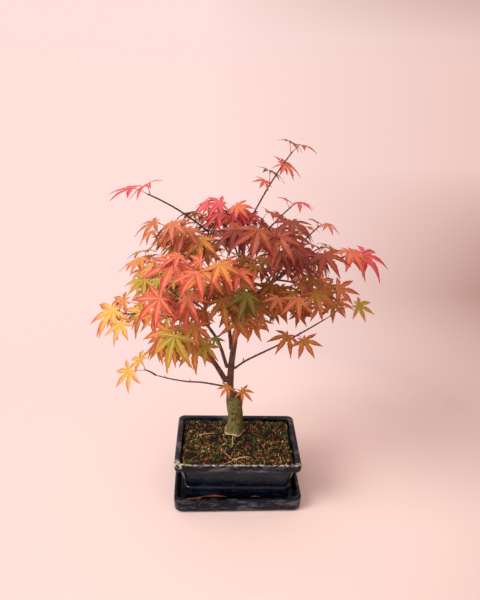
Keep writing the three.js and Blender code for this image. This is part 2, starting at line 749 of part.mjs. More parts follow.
function growSpray(spray, obstacles) {
  const random = seededRandom(spray.seed);
  const twigs = [];
  const leaves = [];
  function addLeaf(node, heading, size, along, step) {
    const root = node.clone().addScaledVector(along, -step * jointStep);
    const leaf = growLeaf(spray, root, heading, size, random, obstacles, leaves);
    if (leaf) leaves.push(leaf);
  }
  const first = spray.nodes > 1 ? firstNode : 1;
  for (let node = 0; node < spray.nodes; node += 1) {
    const last = node === spray.nodes - 1;
    const share = last ? 1 : first + ((1 - first) * node) / (spray.nodes - 1);
    const root = spray.stem.curve.getPoint(share);
    const along = spray.stem.curve.getTangent(share);
    const headings = pairHeadings(along, last ? forwardPair : openPair, random);
    const size = spray.lobe * (last ? endNodeSize : 1) * inRange(sizeRange, random);
    headings.forEach((heading, step) => {
      const reach = spray.lobe * inRange(sprigRange, random);
      const tip = root.clone().addScaledVector(mix([heading, 1], [up, 0.2]), reach);
      const sprig = node < spray.sprigs && twigFits(spray, root, tip, obstacles);
      if (sprig) {
        twigs.push({ a: root, b: tip });
        const onward = tip.clone().sub(root).normalize();
        const pair = pairHeadings(mix([heading, 1], [up, 0.1]), forwardPair, random);
        const leafSize = size * sprigLeafSize;
        pair.forEach((branch, turn) => addLeaf(tip, branch, leafSize, onward, turn + pairStep));
      } else {
        addLeaf(root, heading, size, along, step + pairStep);
      }
    });
    if (last && spray.nodes > 1) addLeaf(root, along, size * endLeafSize, along, endLeafStep);
  }
  return { twigs, leaves };
}

// A leaf as one closed body: the blade is a low double cone over the leaf's outline, and the
// three-sided stalk runs from its heel into the twig.
function leafSolid(leaf) {
  const { outline, centre, normal, root } = leaf;
  const half = (leaf.size * leafThickness) / 2;
  const side = leaf.forward.clone().cross(normal);
  const foot = root.clone().lerp(centre, -stalkRadius / leaf.stalk);
  const points = [
    ...outline,
    centre.clone().addScaledVector(normal, half),
    centre.clone().addScaledVector(normal, -half),
    foot.clone().addScaledVector(normal, stalkRadius),
    foot.clone().addScaledVector(normal, -stalkRadius / 2).addScaledVector(side, stalkRadius),
    foot.clone().addScaledVector(normal, -stalkRadius / 2).addScaledVector(side, -stalkRadius),
  ];
  const last = outline.length - 1;
  const top = last + 1;
  const bottom = last + 2;
  const index = [bottom, last, 0];
  for (let i = 0; i < last; i += 1) {
    index.push(top, i + 1, i, bottom, i, i + 1);
  }
  const bladeRing = [top, last, 0];
  const footRing = [last + 3, last + 4, last + 5];
  for (let i = 0; i < 3; i += 1) {
    const next = (i + 1) % 3;
    index.push(footRing[i], footRing[next], bladeRing[next]);
    index.push(footRing[i], bladeRing[next], bladeRing[i]);
  }
  index.push(footRing[0], footRing[2], footRing[1]);
  const geometry = new THREE.BufferGeometry().setFromPoints(points);
  geometry.setIndex(index);
  return solidFrom(geometry);
}

function straightTwig(a, b, radius) {
  return limbSolid({ curve: new THREE.LineCurve3(a, b), foot: radius, tip: radius, hold: 1 }, twigSides, 1);
}

const limbObstacles = [
  ...limbSegments(leader, leaderSteps),
  ...boughRows.flatMap((row) => limbSegments(limbs[row.name], boughSteps)),
];
for (const spray of sprays) {
  spray.stemPieces = limbSegments(spray.stem, stemSteps);
}

function makeSpray(spray) {
  const others = sprays.filter((other) => other !== spray);
  const obstacles = [...limbObstacles, ...others.flatMap((other) => other.stemPieces)];
  const grown = growSpray(spray, obstacles);
  let solid = limbSolid(spray.stem, twigSides, stemSteps);
  for (const twig of grown.twigs) {
    solid = solid.add(straightTwig(twig.a, twig.b, sprigRadius));
  }
  for (const leaf of grown.leaves) {
    solid = solid.add(leafSolid(leaf));
  }
  return mainBody(solid);
}

// The whole plant in its pot
const bonsai = new THREE.Group();
const tray = namedMesh("drip_tray", geometryFrom(makeTray()), navyGlaze);
tray.rotation.z = trayTurn;
bonsai.add(tray);
bonsai.add(namedMesh("pot", geometryFrom(makePot()), navyGlaze));
bonsai.add(namedMesh("soil", geometryFrom(makeSoil()), soilMix));
bonsai.add(namedMesh("trunk", geometryFrom(makeTrunk()), oldBark));
for (const row of boughRows) {
  const solid = limbSolid(limbs[row.name], boughSides, boughSteps);
  bonsai.add(namedMesh(row.name, geometryFrom(solid), youngBark));
}
for (const spray of sprays) {
  bonsai.add(namedMesh(spray.name, geometryFrom(makeSpray(spray)), leafTints[spray.tint]));
}

export default bonsai;
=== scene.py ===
# A potted maple bonsai in autumn leaf, dressed for its picture: bark, leaves, glaze and soil.
# The limbs, sprays and leaves follow the same named sizes and the same seeded rule as the
# part's source. Growth is worked out in millimetres, and meshes are made in metres.
import json
import math

import bpy
import numpy as np
from mathutils import Matrix, Vector, noise


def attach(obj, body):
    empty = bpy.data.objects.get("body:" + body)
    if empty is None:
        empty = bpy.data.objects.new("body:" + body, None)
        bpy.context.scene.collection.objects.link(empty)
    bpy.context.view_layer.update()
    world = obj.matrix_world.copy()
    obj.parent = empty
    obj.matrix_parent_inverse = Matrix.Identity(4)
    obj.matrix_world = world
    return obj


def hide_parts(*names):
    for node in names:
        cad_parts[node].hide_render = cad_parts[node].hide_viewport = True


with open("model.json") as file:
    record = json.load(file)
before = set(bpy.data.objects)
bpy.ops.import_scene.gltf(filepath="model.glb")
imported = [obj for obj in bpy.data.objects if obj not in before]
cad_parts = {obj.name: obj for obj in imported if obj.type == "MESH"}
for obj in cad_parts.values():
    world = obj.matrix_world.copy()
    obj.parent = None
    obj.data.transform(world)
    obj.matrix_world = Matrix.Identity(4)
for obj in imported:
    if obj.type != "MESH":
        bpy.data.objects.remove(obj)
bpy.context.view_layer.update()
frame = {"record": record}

MM = 0.001


# The camera of the picture: its place, and its turns in radians
camera_place = (-27.8, -664.0, 527.3)
camera_yaw = -0.0397
camera_pitch = 0.392
camera_roll = 0.0293
camera_lens = 38.27


def make_camera():
    lens = bpy.data.cameras.new("camera")
    lens.lens = camera_lens
    lens.sensor_width = 36
    lens.clip_start = 0.01
    lens.clip_end = 20
    camera = bpy.data.objects.new("camera", lens)
    bpy.context.collection.objects.link(camera)
    turn = Matrix.Rotation(camera_yaw, 4, "Z")
    turn @= Matrix.Rotation(math.pi / 2 - camera_pitch, 4, "X")
    turn @= Matrix.Rotation(camera_roll, 4, "Z")
    camera.matrix_world = Matrix.Translation(Vector(camera_place) * MM) @ turn
    bpy.context.scene.camera = camera


make_camera()
bpy.context.scene.view_settings.view_transform = "Standard"


# Materials
def linear(code):
    """The colour of a six-figure hex code as the shader wants it."""
    parts = [int(code[i:i + 2], 16) / 255 for i in (0, 2, 4)]
    return tuple(c / 12.92 if c <= 0.04045 else ((c + 0.055) / 1.055) ** 2.4 for c in parts)


def plain(name, code, roughness, specular=0.5):
    material = bpy.data.materials.new(name)
    material.use_nodes = True
    shader = material.node_tree.nodes["Principled BSDF"]
    shader.inputs["Base Color"].default_value = (*linear(code), 1)
    shader.inputs["Roughness"].default_value = roughness
    shader.inputs["Specular IOR Level"].default_value = specular
    return material


class Finish:
    """A material whose pattern nodes read the piece's own coordinates."""

    def __init__(self, name, roughness=0.5):
        self.material = bpy.data.materials.new(name)
        self.material.use_nodes = True
        self.tree = self.material.node_tree
        self.shader = self.tree.nodes["Principled BSDF"]
        self.shader.inputs["Roughness"].default_value = roughness
        self.place = self.node("TexCoord", {}).outputs["Object"]

    def feed(self, socket, value):
        """Gives a socket another node's output, the colour of a hex code, or a number."""
        if isinstance(value, bpy.types.NodeSocket):
            self.tree.links.new(value, socket)
        elif isinstance(value, str):
            socket.default_value = (*linear(value), 1)
        else:
            socket.default_value = value

    def node(self, kind, inputs, **settings):
        node = self.tree.nodes.new("ShaderNode" + kind)
        for setting, value in settings.items():
            setattr(node, setting, value)
        for socket, value in inputs.items():
            self.feed(node.inputs[socket], value)
        return node

    def scaled(self, x, y, z):
        return self.node("Mapping", {"Vector": self.place, "Scale": (x, y, z)}).outputs["Vector"]

    def axis(self, letter):
        return self.node("SeparateXYZ", {0: self.place}).outputs[letter]

    def speckle(self, scale, detail=4, rough=0.5, place=None):
        look = {"Scale": scale, "Detail": detail, "Roughness": rough}
        return self.node("TexNoise", {"Vector": place or self.place, **look}).outputs["Fac"]

    def ramp(self, value, low, high, start=0.0, end=1.0):
        ends = {"From Min": low, "From Max": high, "To Min": start, "To Max": end}
        return self.node("MapRange", {"Value": value, **ends}).outputs["Result"]

    def sum(self, a, b, operation="ADD"):
        return self.node("Math", {0: a, 1: b}, operation=operation).outputs[0]

    def minus(self, a, b):
        return self.sum(a, b, "SUBTRACT")

    def times(self, a, b):
        return self.sum(a, b, "MULTIPLY")

    def most(self, a, b):
        return self.sum(a, b, "MAXIMUM")

    def blend(self, share, first, second):
        """The first colour where the share is 0 and the second where it is 1."""
        colors = {"Factor": share, 6: first, 7: second}
        return self.node("Mix", colors, data_type="RGBA").outputs[2]

    def over(self, under, value, low, high, code, full=1.0):
        """A colour laid over another, more of it as the value goes from low to high."""
        return self.blend(self.ramp(value, low, high, 0, full), under, code)

    def color(self, value):
        self.feed(self.shader.inputs["Base Color"], value)

    def roughness(self, value):
        self.feed(self.shader.inputs["Roughness"], value)

    def relief(self, height, distance, strength=1.0):
        bump = self.node("Bump", {"Strength": strength, "Distance": distance, "Height": height})
        self.feed(self.shader.inputs["Normal"], bump.outputs["Normal"])


glaze_gloss = {
    "Specular Tint": (0.72, 0.85, 1, 1),
    "Specular IOR Level": 0.2,
    "Coat Weight": 0.1,
    "Coat Roughness": 0.06,
}


def make_glaze(name, dark_height, smear_and_reflection_height):
    """Blue-black glaze with cloudy patches and flecks, and pale smears that grow over a height: real
    smears, and on the pot's rim partly painted reflection.
    """
    glaze = Finish(name)
    glaze.cloud = glaze.speckle(38, 5, 0.62)
    body = glaze.over("01050e", glaze.cloud, 0.42, 0.68, "091226")
    smear = glaze.speckle(1, 5, 0.65, glaze.scaled(45, 45, 190))
    # Pale smears grow from the dark height to the full one. On the pot's rim they are partly a painted grey
    # reflection.
    pale = glaze.ramp(glaze.axis("Z"), dark_height, smear_and_reflection_height, 0.15, 1)
    body = glaze.blend(glaze.times(glaze.ramp(smear, 0.5, 0.74, 0, 0.8), pale), body, "6f747c")
    glaze.body = glaze.over(body, glaze.speckle(480, 3, 0.6), 0.68, 0.74, "b9b8b0", 0.7)
    glaze.wet = glaze.ramp(glaze.speckle(420, 6, 0.7), 0.35, 0.7, 0.1, 0.3)
    for socket, value in glaze_gloss.items():
        glaze.shader.inputs[socket].default_value = value
    return glaze


def make_tray_glaze():
    glaze = make_glaze("tray_glaze", 0.021, 0.016)
    glaze.color(glaze.body)
    glaze.roughness(glaze.wet)
    glaze.relief(glaze.cloud, 0.0014, 0.6)
    return glaze.material


# Where the front of the pot is bare or crusted, in metres. Each pair of places says where a
# pattern starts to show and where it shows in full.
rim_top = (0.0622, 0.064)
front_edge = [(-0.0537, -0.051), (-0.044, -0.047)]
corner_across = (-0.064, -0.068)
corner_depth = (-0.04, -0.046)
foot_front = (-0.042, -0.043)
clay_low = 0.0135
clay_wander = 0.0005
clay_fade = 0.0003
# Bare patches by middle, half length and rise
clay_patches = [(-0.026, 0.019, 0.0034), (0.021, 0.011, 0.002)]


def make_pot_glaze():
    """The glaze, with lime scale along the rim, a bare clay edge over the arch, and pale smears toward the
    rim that are partly painted reflection.
    """
    # Painted reflection: the pale smears grow toward the rim, where the glaze shows grey.
    glaze = make_glaze("pot_glaze", 0.05, 0.06)
    x, y, z = (glaze.axis(letter) for letter in "XYZ")
    edge = glaze.times(*(glaze.ramp(y, *places) for places in front_edge))
    corner = glaze.times(glaze.ramp(x, *corner_across), glaze.ramp(y, *corner_depth))
    crust = glaze.ramp(glaze.speckle(230, 6, 0.7), 0.47, 0.54)
    crust = glaze.times(crust, glaze.times(glaze.ramp(z, *rim_top), glaze.most(edge, corner)))
    wander = glaze.ramp(glaze.speckle(60, 3, 0.5), 0.3, 0.7, -clay_wander, clay_wander)
    height = glaze.minus(glaze.sum(z, wander), clay_low)
    bare = 0
    for middle, half, rise in clay_patches:
        off = glaze.sum(glaze.sum(glaze.minus(x, middle), 0, "ABSOLUTE"), half, "DIVIDE")
        top = glaze.times(glaze.minus(1, off), rise)
        bare = glaze.most(bare, glaze.ramp(glaze.minus(top, height), 0, clay_fade))
    bare = glaze.times(bare, glaze.ramp(y, *foot_front))
    glaze.color(glaze.blend(bare, glaze.blend(crust, glaze.body, "cfcabc"), "b4643c"))
    glaze.roughness(glaze.sum(glaze.wet, glaze.times(glaze.most(crust, bare), 0.5)))
    glaze.relief(glaze.sum(glaze.cloud, glaze.times(crust, 0.4)), 0.0012, 0.6)
    return glaze.material


def make_old_bark():
    """Green-grey bark with moss, darker furrows, a pale root collar at the soil, and painted shade on its
    right side.
    """
    bark = Finish("old_bark", 0.9)
    furrow = bark.speckle(1, 6, 0.72, bark.scaled(420, 420, 260))
    moss = bark.speckle(210, 5, 0.7)
    tone = bark.over("2b2413", furrow, 0.4, 0.6, "a3955f")
    tone = bark.over(tone, moss, 0.47, 0.58, "747c2e")
    tone = bark.over(tone, bark.speckle(330, 4, 0.6), 0.6, 0.68, "aaa678", 0.7)
    # Painted shade: the bark grows darker toward its right side, away from the key light.
    tone = bark.over(tone, bark.axis("X"), -0.001, 0.007, "2d2a17", 0.65)
    collar = bark.ramp(bark.axis("Z"), 0.0662, 0.0645)
    patch = bark.ramp(bark.speckle(160, 3, 0.5), 0.4, 0.55)
    bark.color(bark.blend(bark.times(collar, patch), tone, "b3a683"))
    bark.relief(bark.sum(furrow, moss), 0.002)
    return bark.material


def make_young_bark(name, light, dark, age):
    """Smooth brown bark with fine streaks and small pale pores."""
    bark = Finish(name, 0.62)
    streak = bark.speckle(1, 4, 0.6, bark.scaled(420, 420, 110))
    tone = bark.over(dark, streak, 0.35, 0.65, light)
    tone = bark.over(tone, bark.speckle(700, 2, 0.4), 0.66, 0.72, "b08a74", 0.35)
    bark.color(bark.over(tone, bark.axis("Z"), 0.135, 0.11, "5c5a34", age))
    bark.relief(streak, 0.0005, 0.7)
    return bark.material


def make_clay():
    clay = Finish("bare_clay", 0.85)
    clay.color(clay.over("8f4a2a", clay.speckle(150, 5, 0.6), 0.35, 0.65, "c97c4c"))
    clay.relief(clay.speckle(900, 3, 0.6), 0.0004, 0.6)
    return clay.material


def make_ground():
    ground = Finish("damp_soil", 0.95)
    crumb = ground.speckle(420, 6, 0.7)
    tone = ground.over("040302", crumb, 0.35, 0.65, "171006")
    ground.color(ground.over(tone, ground.speckle(45, 4, 0.6), 0.55, 0.66, "232a0c", 0.5))
    ground.relief(crumb, 0.0025)
    return ground.material


pot_glaze = make_pot_glaze()
tray_glaze = make_tray_glaze()
bare_clay = make_clay()
damp_soil = make_ground()
old_bark = make_old_bark()
young_bark = make_young_bark("young_bark", "75503f", "33211a", 0.8)
twig_bark = make_young_bark("twig_bark", "64382f", "2c1916", 0.0)
leaf_stalk = plain("leaf_stalk", "c2544c", 0.5)

# Each autumn tint has a blade, a heart near the middle of the leaf, and veins.
tint_codes = {
    "yellow": ("cf8350", "cfa844", "e2c678"),
    "golden": ("b98332", "a2922e", "ccb75c"),
    "orange": ("bf5c30", "c98740", "deab68"),
    "russet": ("a94a34", "b96c40", "cf9468"),
    "coral": ("bb4638", "cb6a48", "dd9574"),
    "brown": ("985022", "916219", "b07f3e"),
    "olive": ("6f5a1e", "757024", "968a3a"),
    "red": ("8a2f26", "96482a", "aa624a"),
    "maroon": ("6e2220", "7c3826", "8e4a3a"),
    "crimson": ("c43849", "c84c52", "e09088"),
    "green": ("7f8a2e", "8b9a38", "b0b858"),
}
tints = {
    name: [plain(f"{name}_{part}", code, 0.5, 0.4) for part, code in zip(parts, codes)]
    for name, codes in tint_codes.items()
    for parts in [("blade", "heart", "vein")]
}


# Vectors and chance
def vec(*xyz):
    return np.array(xyz, float)


def unit(v):
    return v / np.linalg.norm(v)


up = vec(0, 0, 1)


def mix(*terms):
    return unit(sum(direction * share for direction, share in terms))


def spun(v, axis, angle):
    """v turned about a unit axis."""
    c, s = math.cos(angle), math.sin(angle)
    return v * c + np.cross(axis, v) * s + axis * np.dot(axis, v) * (1 - c)


def seeded(seed):
    """A small repeatable source of numbers from 0 to 1."""
    state = (seed * 7919 + 104729) % 2147483647

    def following():
        nonlocal state
        state = (state * 48271) % 2147483647
        return state / 2147483647

    following()
    following()
    return following


def in_range(bounds, random):
    return bounds[0] + bounds[1] * random()


def jitter(random):
    return vec(random() - 0.5, random() - 0.5, random() - 0.5)


# Curves: through points for limbs, and a plain arch for the stems of sprays
class Curve:
    """A curve whose points can be asked for by share of its length."""
    divisions = 200

    def __init__(self, place):
        self.place = place
        marks = np.array([place(i / self.divisions) for i in range(self.divisions + 1)])
        steps = np.linalg.norm(np.diff(marks, axis=0), axis=1)
        self.lengths = np.concatenate([[0], np.cumsum(steps)])

    def share(self, u):
        shares = np.arange(self.divisions + 1) / self.divisions
        return float(np.interp(u * self.lengths[-1], self.lengths, shares))

    def at(self, u):
        return self.place(self.share(u))

    def tangent(self, t):
        return unit(self.place(min(t + 1e-4, 1)) - self.place(max(t - 1e-4, 0)))

    def along(self, u):
        return self.tangent(self.share(u))


def through(points):
    """A smooth curve through the points, evenly drawn where they are unevenly spaced."""
    points = [np.array(p, float) for p in points]
    last = len(points) - 1

    def place(t):
        share = t * last
        index = min(int(share), last - 1)
        w = share - index
        a, b = points[index], points[index + 1]
        before = points[index - 1] if index > 0 else 2 * a - b
        after = points[index + 2] if index + 2 <= last else 2 * b - a
        d0, d1, d2 = (np.dot(q - p, q - p) ** 0.25 for p, q in ((before, a), (a, b), (b, after)))
        leave = ((a - before) / d0 - (b - before) / (d0 + d1) + (b - a) / d1) * d1
        arrive = ((b - a) / d1 - (after - a) / (d1 + d2) + (after - b) / d2) * d1
        curve = a + leave * w
        curve += (-3 * a + 3 * b - 2 * leave - arrive) * w ** 2
        return curve + (2 * a - 2 * b + leave + arrive) * w ** 3

    return Curve(place)


def bent(start, middle, end, t):
    """A point on the plain arch that leaves start toward middle and comes in to end."""
    return start * (1 - t) ** 2 + middle * 2 * t * (1 - t) + end * t ** 2


class Limb:
    """A tapering limb along a curve, from the radius at its foot to the one at its tip."""

    def __init__(self, curve, foot, tip, hold=1.0):
        self.curve = curve
        self.foot = foot
        self.tip = tip
        self.hold = hold

    def radius(self, u):
        return self.foot + (self.tip - self.foot) * u ** self.hold

    def pieces(self, steps):
        """Straight pieces of the limb as rows of start, end and radius."""
        rows = []
        for i in range(steps):
            a, b = self.curve.at(i / steps), self.curve.at((i + 1) / steps)
            rows.append((*a, *b, max(self.radius(i / steps), self.radius((i + 1) / steps))))
        return rows


clearance = 0.3


def seat_on(parent, at, toward, radius):
    """Where a limb of this radius starts on its parent, clear of the parent's bark."""
    axis_point = parent.curve.at(at)
    along = parent.curve.along(at)
    direction = unit(toward - axis_point)
    cosine = abs(np.dot(direction, along))
    if at == 1:
        return axis_point + along * (clearance + radius * math.sqrt(1 - cosine * cosine))
    outward = unit(direction - along * np.dot(direction, along))
    return axis_point + outward * (parent.radius(at) + clearance + radius * cosine)


# Trunk and boughs
soil_level = 62.6
trunk_x = -2.5
trunk_y = 24
old_stem_bends = [
    (trunk_x, trunk_y, soil_level + clearance),
    (trunk_x + 0.6, trunk_y, 78),
    (trunk_x - 0.8, trunk_y, 98),
    (trunk_x - 1.5, trunk_y + 1, 115),
]
old_stem_radii = [12.6, 10.8, 9.8, 9.2, 9.2, 9.6, 10.4, 10.6, 9.4]
root_lobes = 5
root_flare = 0.13
leader_bends = [(-6.5, 22, 96), (-9.5, 21, 120), (-9.5, 22, 140), (-8.8, 22, 158), (-6, 23, 184),
                (-4, 23.6, 198)]
bough_rows = [
    ("left_bough", "leader", 0.42, 3.4, 1.9,
     [(-26, 17, 158), (-40, 12, 182), (-52, 4, 206), (-60, -2, 226)]),
    ("middle_bough", "leader", 0.6, 2.3, 1.5, [(-25, 14, 193), (-38, 8, 217), (-51, 4, 237)]),
    ("rising_bough", "middle_bough", 0.72, 1.5, 1.1,
     [(-42, 14, 240), (-47, 14, 276), (-42, 14, 307), (-38, 14, 326)]),
    ("upper_bough", "leader", 1, 3.2, 1.8,
     [(1, 25, 222), (11, 27, 240), (30, 31, 257), (54, 34, 275)]),
    ("crest_bough", "upper_bough", 0.5, 2, 1.2, [(8, 22, 265), (-2, 18, 296), (-4, 18, 328)]),
    ("front_bough", "leader", 0.93, 2, 1.3, [(-4, 6, 204), (-6, -18, 228), (-4, -42, 252)]),
    ("right_bough", "leader", 0.58, 1.35, 0.9,
     [(8, 14, 168), (46, 4, 195), (74, -4, 217), (100, -13, 240)]),
    ("low_left_bough", "leader", 0.32, 1.25, 0.85,
     [(-46, 16, 137), (-62, 12, 140), (-86, 6, 148), (-98, 2, 154)]),
    ("back_bough", "leader", 0.8, 2.6, 1.4, [(-14, 50, 206), (-24, 74, 230), (-28, 92, 252)]),
    ("back_right_bough", "upper_bough", 0.34, 2, 1.2,
     [(22, 50, 236), (44, 74, 252), (58, 92, 268)]),
]
leader_steps = 12
bough_steps = 8
stem_steps = 3

leader = Limb(through(leader_bends), 5.6, 3.3, 0.7)
limbs = {"leader": leader}
joints = {}
for name, parent, at, foot, tip, bends in bough_rows:
    start = seat_on(limbs[parent], at, vec(*bends[0]), foot)
    joints[name] = limbs[parent].curve.at(at)
    limbs[name] = Limb(through([start, *bends]), foot, tip)

# Sprays: name, bough, share of its length, end, nodes, sprigs, lobe length, seed, first tint,
# second tint, and the share of leaves that take the second
spray_rows = [
    ("low_left_spray", "low_left_bough", 1, (-112, 6, 159), 1, 0, 37, 210, "yellow", "orange", 0.5),
    ("outer_left_spray", "left_bough", 1, (-130, -13, 239), 3, 1, 40, 471, "yellow", "orange", 0.4),
    ("left_front_spray", "left_bough", 0.9, (-56, -54, 243), 4, 2, 44, 448, "orange", "golden", 0.45),
    ("left_middle_spray", "middle_bough", 1, (-92, -41, 290), 4, 2, 36, 892, "golden", "orange", 0.4),
    ("left_upper_spray", "rising_bough", 0.8, (-68, -27, 343), 4, 2, 40.4, 349, "russet", "orange", 0.35),
    ("top_left_shoot", "rising_bough", 1, (-101, -7, 373), 1, 0, 33, 626, "coral", "crimson", 0.4),
    ("front_left_spray", "rising_bough", 0.4, (-34, -109, 326), 4, 2, 38, 487, "coral", "orange", 0.35),
    ("front_middle_spray", "front_bough", 1, (-28, -75, 286), 3, 1, 34, 716, "brown", "olive", 0.35),
    ("front_low_spray", "front_bough", 0.6, (2, -40, 248), 3, 1, 30, 351, "orange", "golden", 0.4),
    ("front_right_spray", "upper_bough", 0.6, (55, -65, 283), 4, 2, 31.1, 99, "brown", "russet", 0.3),
    ("front_high_spray", "crest_bough", 0.75, (13, -87, 351), 3, 2, 38.3, 236, "maroon", "red", 0.4),
    ("crest_spray", "crest_bough", 1, (-21, -21, 361), 3, 1, 30, 463, "crimson", "coral", 0.3),
    ("top_shoot", "crest_bough", 0.9, (50, 13, 417), 4, 0, 24, 977, "brown", "coral", 0.4),
    ("crimson_shoot", "crest_bough", 0.55, (51, 4, 360), 1, 0, 22, 853, "crimson", "crimson", 0),
    ("upper_right_spray", "upper_bough", 0.78, (44, -76, 332), 4, 2, 30.3, 487, "red", "maroon", 0.4),
    ("right_top_runner", "upper_bough", 0.7, (90, 43, 329), 3, 0, 26.2, 673, "red", "coral", 0.3),
    ("right_spray", "upper_bough", 0.92, (94, 33, 307), 4, 2, 30, 305, "red", "maroon", 0.4),
    ("right_end_spray", "upper_bough", 1, (112, 0, 305), 2, 0, 40, 251, "crimson", "coral", 0.4),
    ("right_low_spray", "right_bough", 1, (115, 2, 243), 1, 0, 27, 920, "golden", "orange", 0.5),
    ("star_spray", "right_bough", 0.7, (64, -14, 215), 1, 0, 30.6, 633, "orange", "brown", 0.4),
    ("right_back_spray", "back_right_bough", 0.7, (91, 53, 274), 4, 2, 32, 711, "red", "brown", 0.4),
    ("back_right_spray", "back_right_bough", 1, (38, 116, 266), 4, 2, 32, 489, "brown", "orange", 0.4),
    ("back_middle_spray", "back_bough", 1, (-31, 133, 269), 4, 2, 34, 363, "brown", "orange", 0.4),
    ("back_left_spray", "back_bough", 0.8, (-84, 99, 287), 4, 2, 32, 711, "orange", "golden", 0.4),
    ("back_high_spray", "crest_bough", 0.5, (-23, 73, 325), 4, 2, 33.7, 910, "red", "brown", 0.4),
    ("back_low_spray", "back_bough", 0.5, (31, 57, 236), 3, 1, 30, 242, "orange", "olive", 0.5),
    ("left_back_spray", "left_bough", 0.65, (-102, 35, 255), 4, 2, 32.3, 570, "yellow", "golden", 0.5),
    ("left_back_high_spray", "rising_bough", 0.6, (-58, 31, 303), 4, 2, 32.3, 795, "orange", "golden", 0.4),
    ("left_low_spray", "left_bough", 0.75, (-57, -32, 205), 3, 1, 37.4, 825, "orange", "golden", 0.5),
    ("left_inner_spray", "rising_bough", 0.15, (-68, -90, 287), 3, 1, 37.6, 793, "coral", "golden", 0.4),
    ("middle_left_spray", "left_bough", 0.98, (-50, -24, 246), 3, 1, 29.1, 950, "orange", "golden", 0.4),
    ("middle_spray", "rising_bough", 0.25, (-6, -34, 281), 3, 2, 32, 36, "brown", "golden", 0.3),
    ("upper_front_spray", "crest_bough", 0.35, (21, -62, 310), 4, 2, 31.7, 314, "brown", "red", 0.4),
    ("right_middle_spray", "upper_bough", 0.86, (104, -21, 263), 3, 1, 30, 737, "brown", "russet", 0.4),
    ("right_front_spray", "upper_bough", 0.45, (61, -19, 246), 3, 1, 28, 841, "brown", "orange", 0.35),
    ("upper_middle_spray", "crest_bough", 0.65, (6, 27, 336), 3, 2, 30, 213, "red", "russet", 0.4),
    ("left_far_spray", "middle_bough", 0.8, (-108, 39, 281), 4, 1, 34, 864, "orange", "golden", 0.4),
    ("back_top_spray", "crest_bough", 0.8, (-51, 60, 333), 3, 1, 30.3, 414, "brown", "red", 0.4),
    ("back_far_spray", "back_right_bough", 0.9, (27, 137, 285), 3, 1, 30, 683, "orange", "brown", 0.4),
    ("inner_spray", "middle_bough", 0.45, (-33, -5, 206), 1, 0, 15.6, 430, "green", "golden", 0.4),
    ("trunk_spur", "leader", 0.3, (-5, 4, 134), 1, 0, 18, 20, "orange", "brown", 0.3),
]
stem_foot = 1.15
stem_tip = 0.75
sprig_radius = 0.8
spread_lift = 0.1


class Spray:
    """One mass of foliage: a stem from its bough, with its own twigs and leaves."""

    def __init__(self, row):
        (self.name, self.bough, self.at, end, self.nodes, self.sprigs, self.lobe, self.seed,
         self.tint, self.other_tint, self.other_share) = row
        parent = limbs[self.bough]
        end = vec(*end)
        self.joint = parent.curve.at(self.at)
        middle = (self.joint + end) / 2
        middle[2] += spread_lift * np.linalg.norm(end - self.joint)
        start = seat_on(parent, self.at, middle, stem_foot)
        self.stem = Limb(Curve(lambda t: bent(start, middle, end, t)), stem_foot, stem_tip)
        self.middle = self.stem.curve.place(0.8)
        self.twigs = []
        self.leaves = []


sprays = [Spray(row) for row in spray_rows]

# Sprays keep apart on the flat faces half way between their middles.
height_weight = 1.7
cell_margin = 0.3
limb_margin = 0.5
for spray in sprays:
    rest = [other.middle for other in sprays if other is not spray]
    faces = spray.middle - np.array(rest)
    faces[:, 2] *= height_weight
    faces /= np.linalg.norm(faces, axis=1)[:, None]
    spray.faces = faces
    spray.offsets = np.einsum("ij,ij->i", faces, (spray.middle + np.array(rest)) / 2)


def inside_cell(spray, points):
    """How far each point lies inside the spray's own space."""
    return (np.atleast_2d(points) @ spray.faces.T - spray.offsets).min(axis=1)


def dot(a, b):
    return np.einsum("...i,...i->...", a, b)


def piece_distances(rods, starts, ends):
    """The least distance between each rod and each straight piece."""
    a = rods[:, None, 0:3]
    c = starts[None, :, :]
    u = rods[:, None, 3:6] - a
    v = ends[None, :, :] - c
    w = a - c
    uu, uv, vv, uw, vw = dot(u, u), dot(u, v), dot(v, v), dot(u, w), dot(v, w)
    cross = uu * vv - uv * uv
    s = np.where(cross > 1e-9, (uv * vw - vv * uw) / np.where(cross > 1e-9, cross, 1), 0)
    s = np.clip(s, 0, 1)
    t = np.clip((uv * s + vw) / vv, 0, 1)
    s = np.clip((uv * t - uw) / uu, 0, 1)
    return np.linalg.norm(w + u * s[..., None] - v * t[..., None], axis=2)


def any_pierces(starts, ends, corners):
    """Whether any straight piece passes through any triangle."""
    if not len(corners):
        return False
    d = (ends - starts)[:, None, :]
    edge1 = (corners[:, 1] - corners[:, 0])[None]
    edge2 = (corners[:, 2] - corners[:, 0])[None]
    q = starts[:, None, :] - corners[None, :, 0]
    p = np.cross(d, edge2)
    det = dot(p, edge1)
    good = np.abs(det) > 1e-12
    safe = np.where(good, det, 1)
    u = dot(p, q) / safe
    r = np.cross(q, edge1)
    v = dot(r, d) / safe
    t = dot(r, edge2) / safe
    return bool((good & (u >= 0) & (v >= 0) & (u + v <= 1) & (t >= 0) & (t <= 1)).any())


